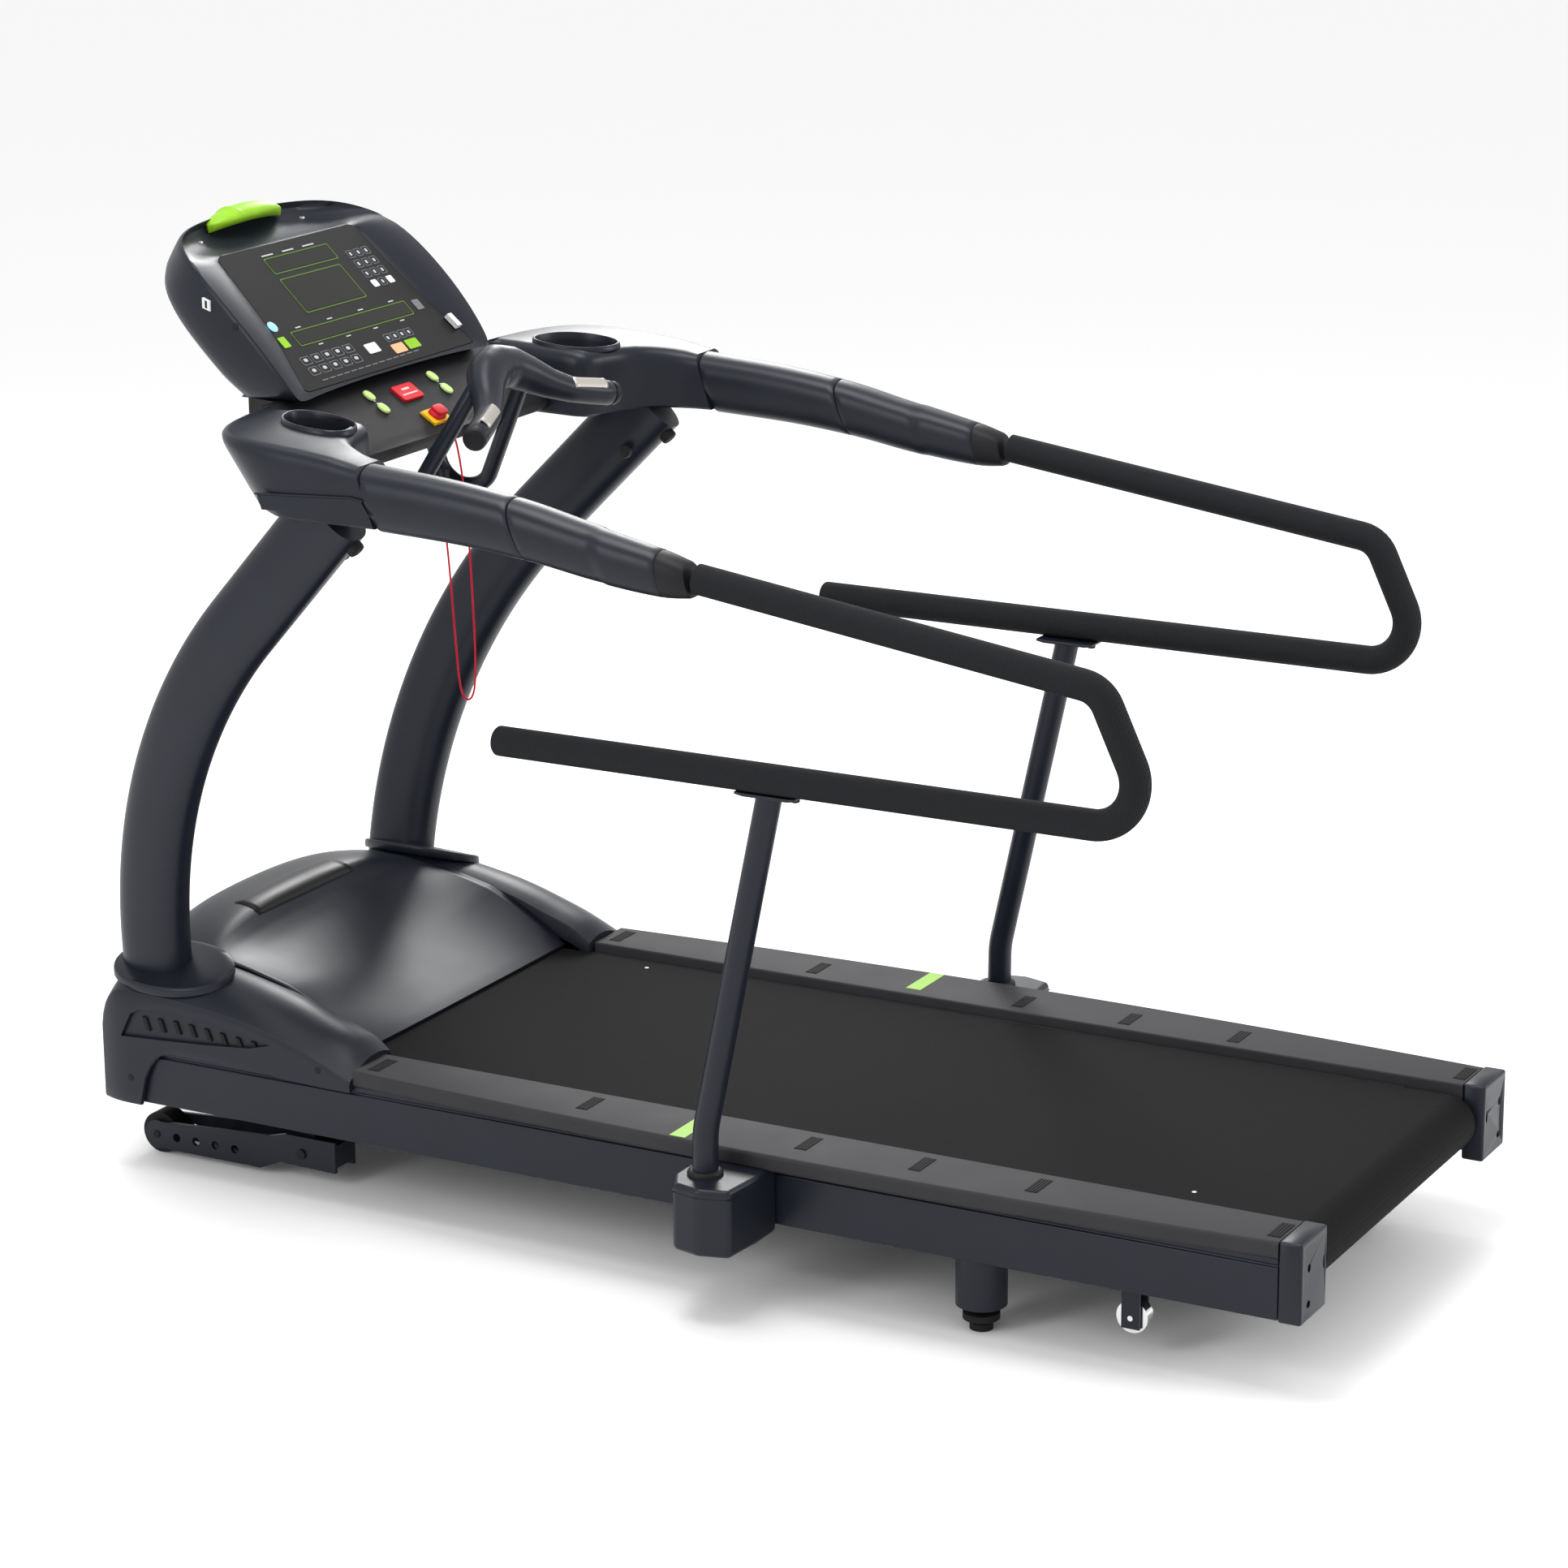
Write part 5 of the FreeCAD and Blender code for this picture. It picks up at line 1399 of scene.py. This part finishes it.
def overlay_line(crest):
    """The border of the flat control overlay, matched point for point with the rim."""
    points = []
    for u, v, _ in crest:
        if v < 0.0045 and abs(u) < 0.262:
            points.append((u * 0.232 / 0.262, 0.008))
        elif v < 0.272:
            reach = curve_value(
                [(-0.01, 0.236), (0.03, 0.224), (0.10, 0.204), (0.18, 0.194), (0.272, 0.187)], v
            )
            points.append((math.copysign(reach, u), 0.010 + (v + 0.004) * 0.2555 / 0.276))
        else:
            points.append((u * 0.187 / 0.259, 0.2655 + 0.0075 * min(1, (v - 0.272) / 0.03)))
    return points


# Below this v the head's back draws in as it gets deeper, by TUCK of the depth.
TUCK_BELOW, TUCK = 0.12, 0.95
OVERLAY_TOP = 0.0046


def console():
    crest = crest_line()
    inner = overlay_line(crest)
    count = len(crest)

    def ring(outset=0.0, drop=0.0, level=None, mix=0.0):
        points = []
        for index, (u, v, w) in enumerate(crest):
            ahead, behind = crest[(index + 1) % count], crest[index - 1]
            along = Vector((ahead[0] - behind[0], ahead[1] - behind[1])).normalized()
            pu, pv = u + along.y * outset, v - along.x * outset
            pw = w - drop if level is None else min(w - drop, level)
            if v < TUCK_BELOW:
                depth = max(0.0, w - pw)
                pv = TUCK_BELOW - (TUCK_BELOW - v) * (TUCK_BELOW - TUCK * depth) / TUCK_BELOW
            if mix:
                iu, iv = inner[index]
                back = curve_value([(0.27, 0.0), (0.30, 0.35), (0.34, 1.0)], v)
                convex = OVERLAY_TOP + (w - OVERLAY_TOP) * (1 - mix**2.2)
                dished = w + (OVERLAY_TOP - w) * mix - 0.020 * math.sin(math.pi * mix**0.6) ** 0.8
                pu, pv = u + (iu - u) * mix, v + (iv - v) * mix
                pw = convex + (dished - convex) * back if mix < 1 else 0.0030
            points.append(FACE.at(pu, pv, pw))
        return points

    rings = [
        ring(-0.10, 0.07, -0.079),
        ring(-0.034, 0.06, -0.0785),
        ring(-0.020, 0.05, -0.0745),
        ring(-0.010, 0.036, -0.066),
        ring(-0.004, 0.026, -0.053),
        ring(0.000, 0.018, -0.034),
        ring(0.0025, 0.012, -0.012),
        ring(0.0030, 0.008),
        ring(0.0028, 0.0045),
        ring(0.0016, 0.0016),
        ring(0.0, 0.0),
        ring(mix=0.05),
        ring(mix=0.14),
        ring(mix=0.28),
        ring(mix=0.45),
        ring(mix=0.62),
        ring(mix=0.78),
        ring(mix=0.90),
        ring(mix=0.97),
        ring(mix=1.0),
    ]
    made = rings_mesh("console_head", rings, shell_plastic(), slot="shell_plastic", sharp=42)
    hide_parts("console_shell", "console_bezel")
    sheet = [(u * 0.997, 0.0095 + (v - 0.008) * 0.995) for u, v in inner]
    overlay = FACE.outline(
        "control_overlay", sheet, 0.0022, OVERLAY_TOP, overlay_film(), slot="overlay_film"
    )
    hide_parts("console_overlay")
    overlay_details()
    console_details()


def mark(name, u, v, wide, deep, high, material, corner):
    """A flat mark or key on the overlay, standing high above it."""
    return FACE.key(name, u, v, wide, deep, OVERLAY_TOP, OVERLAY_TOP + high, material, 0, corner)


def overlay_details():
    """Windows, keys and plain marks in place of the printed legends."""
    for name, box in (
        ("speed_window", (-0.087, 0.085, 0.218, 0.249)),
        ("main_window", (-0.088, 0.0755, 0.139, 0.2075)),
        ("profile_window", (-0.162, 0.151, 0.0865, 0.1145)),
    ):
        FACE.frame_line(name, *box, OVERLAY_TOP, 0.0012, green_line(), slot="key_green")
        inset = [
            (box[0] + 0.003, box[2] + 0.003), (box[1] - 0.003, box[2] + 0.003),
            (box[1] - 0.003, box[3] - 0.003), (box[0] + 0.003, box[3] - 0.003)
        ]
        FACE.outline(
            name + "_glass", inset, OVERLAY_TOP, OVERLAY_TOP + 0.0003, window_glass(),
            slot="overlay_film"
        )
    grey = grey_print()
    legend = legend_print()
    for row in range(4):
        for column in range(3):
            u = 0.120 + 0.0215 * column
            v = 0.2195 - 0.0205 * row
            white = row == 3 and column != 1
            FACE.frame_line(
                f"keypad_{row}_{column}", u - 0.0085, u + 0.0085, v - 0.0075, v + 0.0075, OVERLAY_TOP,
                0.0009, grey
            )
            if white:
                mark(f"keypad_fill_{row}_{column}", u, v, 0.0155, 0.0135, 0.0006, white_print(), 0.2)
            else:
                mark(f"keypad_fill_{row}_{column}", u, v, 0.0050, 0.0065, 0.0005, legend, 0.3)
    for row, v in enumerate((0.0605, 0.0400)):
        for column in range(5):
            u = -0.1780 + 0.0285 * column
            FACE.frame_line(
                f"mode_key_{row}_{column}", u - 0.0115, u + 0.0115, v - 0.0078, v + 0.0078, OVERLAY_TOP,
                0.0010, grey
            )
            mark(f"mode_mark_{row}_{column}", u, v + 0.001, 0.0090, 0.0060, 0.0005, legend, 0.4)
    for index in range(14):
        mark(
            f"legend_low_{index}", -0.170 + 0.0195 * index, 0.0208 + 0.0002 * index, 0.0150, 0.0018,
            0.0004, grey, 0.3
        )
    for index in range(4):
        u = 0.044 + 0.0195 * index
        FACE.frame_line(
            f"quick_key_{index}", u - 0.0085, u + 0.0085, 0.0515, 0.0665, OVERLAY_TOP, 0.0009, grey
        )
        mark(f"quick_mark_{index}", u, 0.059, 0.0055, 0.0060, 0.0005, legend, 0.3)
    for index in range(4):
        mark(f"window_tick_{index}", -0.135 + 0.085 * index, 0.1195, 0.014, 0.0022, 0.0004, legend, 0.3)
        mark(f"window_tick_low_{index}", -0.115 + 0.075 * index, 0.0815, 0.012, 0.0020, 0.0004, legend, 0.3)
    for index in range(3):
        mark(f"window_title_{index}", -0.070 + 0.055 * index, 0.2545, 0.030, 0.0024, 0.0004, legend, 0.3)
    mark("enter_key", -0.0105, 0.0495, 0.031, 0.0185, 0.0010, white_print(), 0.12)
    mark("pause_key", 0.0500, 0.0365, 0.032, 0.0175, 0.0010, pale_orange(), 0.12)
    mark("start_key", 0.0890, 0.0375, 0.032, 0.0175, 0.0010, lime(), 0.12)
    mark("left_green", -0.1925, 0.1005, 0.0175, 0.0200, 0.0010, lime(), 0.12)
    mark("right_square", 0.1765, 0.1010, 0.0185, 0.0200, 0.0008, grey, 0.12)
    disc("left_blue", FACE.at(-0.1895, 0.1315, OVERLAY_TOP), FACE.out, 0.0098, 0.0010, pale_blue(), 0.0004)


def console_details():
    label = [(0.2145, 0.040), (0.2265, 0.040), (0.2235, 0.0655), (0.2115, 0.0655)]
    FACE.outline("wing_label", label, 0.006, 0.0138, white_print())
    for u in (-0.137, 0.137):
        disc(
            f"tray_stud_{int(u * 1000)}", FACE.at(u, 0.325, -0.034), (0, 0, 1), 0.006, 0.0055, steel(),
            0.0015, slot="steel_turned"
        )
    port = [(0.820, 1.367), (0.806, 1.3625), (0.806, 1.347), (0.820, 1.3515)]
    prism("side_port", port, -0.2815, -0.2735, "X", white_print())
    core = [(0.8148, 1.3635), (0.8112, 1.3620), (0.8112, 1.3510), (0.8148, 1.3525)]
    prism("side_port_core", core, -0.2820, -0.2735, "X", black_rubber())
    # A black disc on each side of the head stands in for a hole: painted shade.
    for side, sign in SIDES:
        disc(
            f"side_hole_shade_{side}", (sign * 0.2775, 0.7617, 1.3273), (sign, 0, 0), 0.006, 0.0042,
            black_rubber(), 0.001, slot="clip_black"
        )
    leaf()


def leaf():
    """The lime leaf on the head's back edge: a long tapering lobe with a raised rib."""
    rings = []
    for t in spread(0.0, 1.0, 49):
        x = -0.100 + 0.192 * t
        half = 0.027 * math.sin(math.pi * t**0.8) ** 0.7 + 0.0015
        rib = 0.004 * math.exp(-(((t - 0.27) / 0.02) ** 2))
        crown = 0.017 * math.sin(math.pi * t) ** 0.6
        centre = Vector((x, 0.9335, 1.4475 - 0.6 * x * x))
        ring = []
        for a, b in superellipse(28, 2.0):
            lift = (crown + rib) * max(0.0, b) + 0.012 * min(0.0, b)
            ring.append(centre + Vector((0, half * a, lift - 0.10 * half * a)))
        rings.append(ring)
    made = rings_mesh("console_leaf", rings, lime(), slot="accent_green", sharp=60)
    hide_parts("console_accent")


def grip():
    for sign, word in ((-1, "left"), (1, "right")):
        corners = [
            (sign * 0.070, 0.470, 1.232), (sign * 0.116, 0.577, 1.036), (sign * 0.110, 0.640, 1.008),
            (sign * 0.104, 0.676, 1.1125)
        ]
        leg = tube(
            f"grip_leg_{word}", rounded_path(corners, (0.04, 0.05), 0.006), 0.0128, paint(),
            slot="frame_paint"
        )
        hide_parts("grip_legs")
    stops = [
        (-0.197, 0.397, 1.1755, 0.0165), (-0.190, 0.3995, 1.1768, 0.0190),
        (-0.150, 0.412, 1.185, 0.0190), (-0.118, 0.424, 1.193, 0.0195)
    ]
    stops += [
        (-0.088, 0.442, 1.206, 0.0225), (-0.060, 0.463, 1.223, 0.0275), (-0.032, 0.478, 1.237, 0.0315),
        (0, 0.484, 1.243, 0.0330)
    ]
    stops += [(-x, y, z, r) for x, y, z, r in stops[-2::-1]]
    dense = []
    for a, b in zip(stops, stops[1:]):
        for t in (0, 0.34, 0.67):
            dense.append([p + (q - p) * t for p, q in zip(a, b)])
    dense.append(list(stops[-1]))
    rings = []
    for index, (x, y, z, r) in enumerate(dense):
        ahead, behind = dense[min(index + 1, len(dense) - 1)], dense[max(index - 1, 0)]
        heading = (Vector(ahead[:3]) - Vector(behind[:3])).normalized()
        side_way = heading.cross(Vector((0, 0.6, -0.8))).normalized()
        other = heading.cross(side_way)
        rings.append([Vector((x, y, z)) + (side_way * a + other * b) * r for a, b in superellipse(36, 2.2)])
    made = rings_mesh("grip_moulding", rings, shell_plastic(), slot="shell_plastic")
    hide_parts("grip_bar")
    for sign, word in ((-1, "left"), (1, "right")):
        disc(
            f"grip_end_{word}", (sign * 0.1945, 0.3978, 1.1761), (sign, -0.3, -0.16), 0.0185, 0.012,
            dark_plastic(), 0.006, slot="shell_plastic"
        )
        for turned, name in ((-12, "top"), (160, "under")):
            strip = []
            heading = Vector((sign * 0.94, -0.30, -0.16)).normalized()
            base = Vector((sign * 0.112, 0.4260, 1.1945))
            around = heading.cross(Vector((0, 0.6, -0.8))).normalized()
            other = heading.cross(around)
            for along in spread(0.0, 0.070, 15):
                row = []
                for swing in spread(turned - 32, turned + 32, 9):
                    a = math.radians(swing)
                    away = (around * math.sin(a) * sign + Vector((0, -0.6, 0.8)) * math.cos(a)).normalized()
                    edge = along in (0.0, 0.070) or abs(swing - turned) > 31
                    row.append(base + heading * along + away * (0.0186 if edge else 0.0204))
                strip.append(row)
            piece = rings_mesh(
                f"contact_{word}_{name}", strip, contact_metal(), closed=False, caps=False,
                slot="contact_steel"
            )
            wall = piece.modifiers.new("wall", "SOLIDIFY")
            wall.thickness = 0.001
            wall.offset = 0
            settle(piece)
            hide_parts("grip_contacts")


# ------------------------------------------------------------------ underside


def underside():
    for node, material in (
        ("frame_crossmembers", paint()),
        ("underframe_brackets", paint()),
        ("lift_frame", paint()),
        ("lift_brackets", paint()),
        ("dash_beam", paint()),
        ("front_roller", steel()),
        ("rear_roller", steel()),
        ("motor_pulley", steel()),
        ("lift_screw", steel()),
        ("pins_and_screws", dark_plastic()),
        ("drive_motor", motor_paint()),
        ("lift_actuator", motor_paint()),
        ("drive_belt", black_rubber()),
        ("deck_cushions", black_rubber()),
        (
            "running_deck",
            finish("deck_board", (0.020, 0.017, 0.015), 0.55, grain=0.3, mottle=0.25, mottle_size=0.03)
        ),
        ("power_inlet", dark_plastic()),
        ("power_switch", black_rubber()),
        ("tether_clip", black_rubber()),
        ("levelling_foot_left", black_rubber()),
        ("levelling_foot_right", black_rubber()),
        ("lift_wheel_left", black_rubber()),
        ("lift_wheel_right", black_rubber()),
        ("transport_wheel_left", chrome()),
        ("transport_wheel_right", chrome()),
    ):
        recolour(node, material)


def main():
    camera()
    tether()
    studio()
    side_rails()
    footrails()
    rear_caps()
    walking_belt()
    hood_sides()
    hood_centre()
    collars()
    columns()
    arms()
    handrails()
    dash()
    console()
    grip()
    underside()


main()
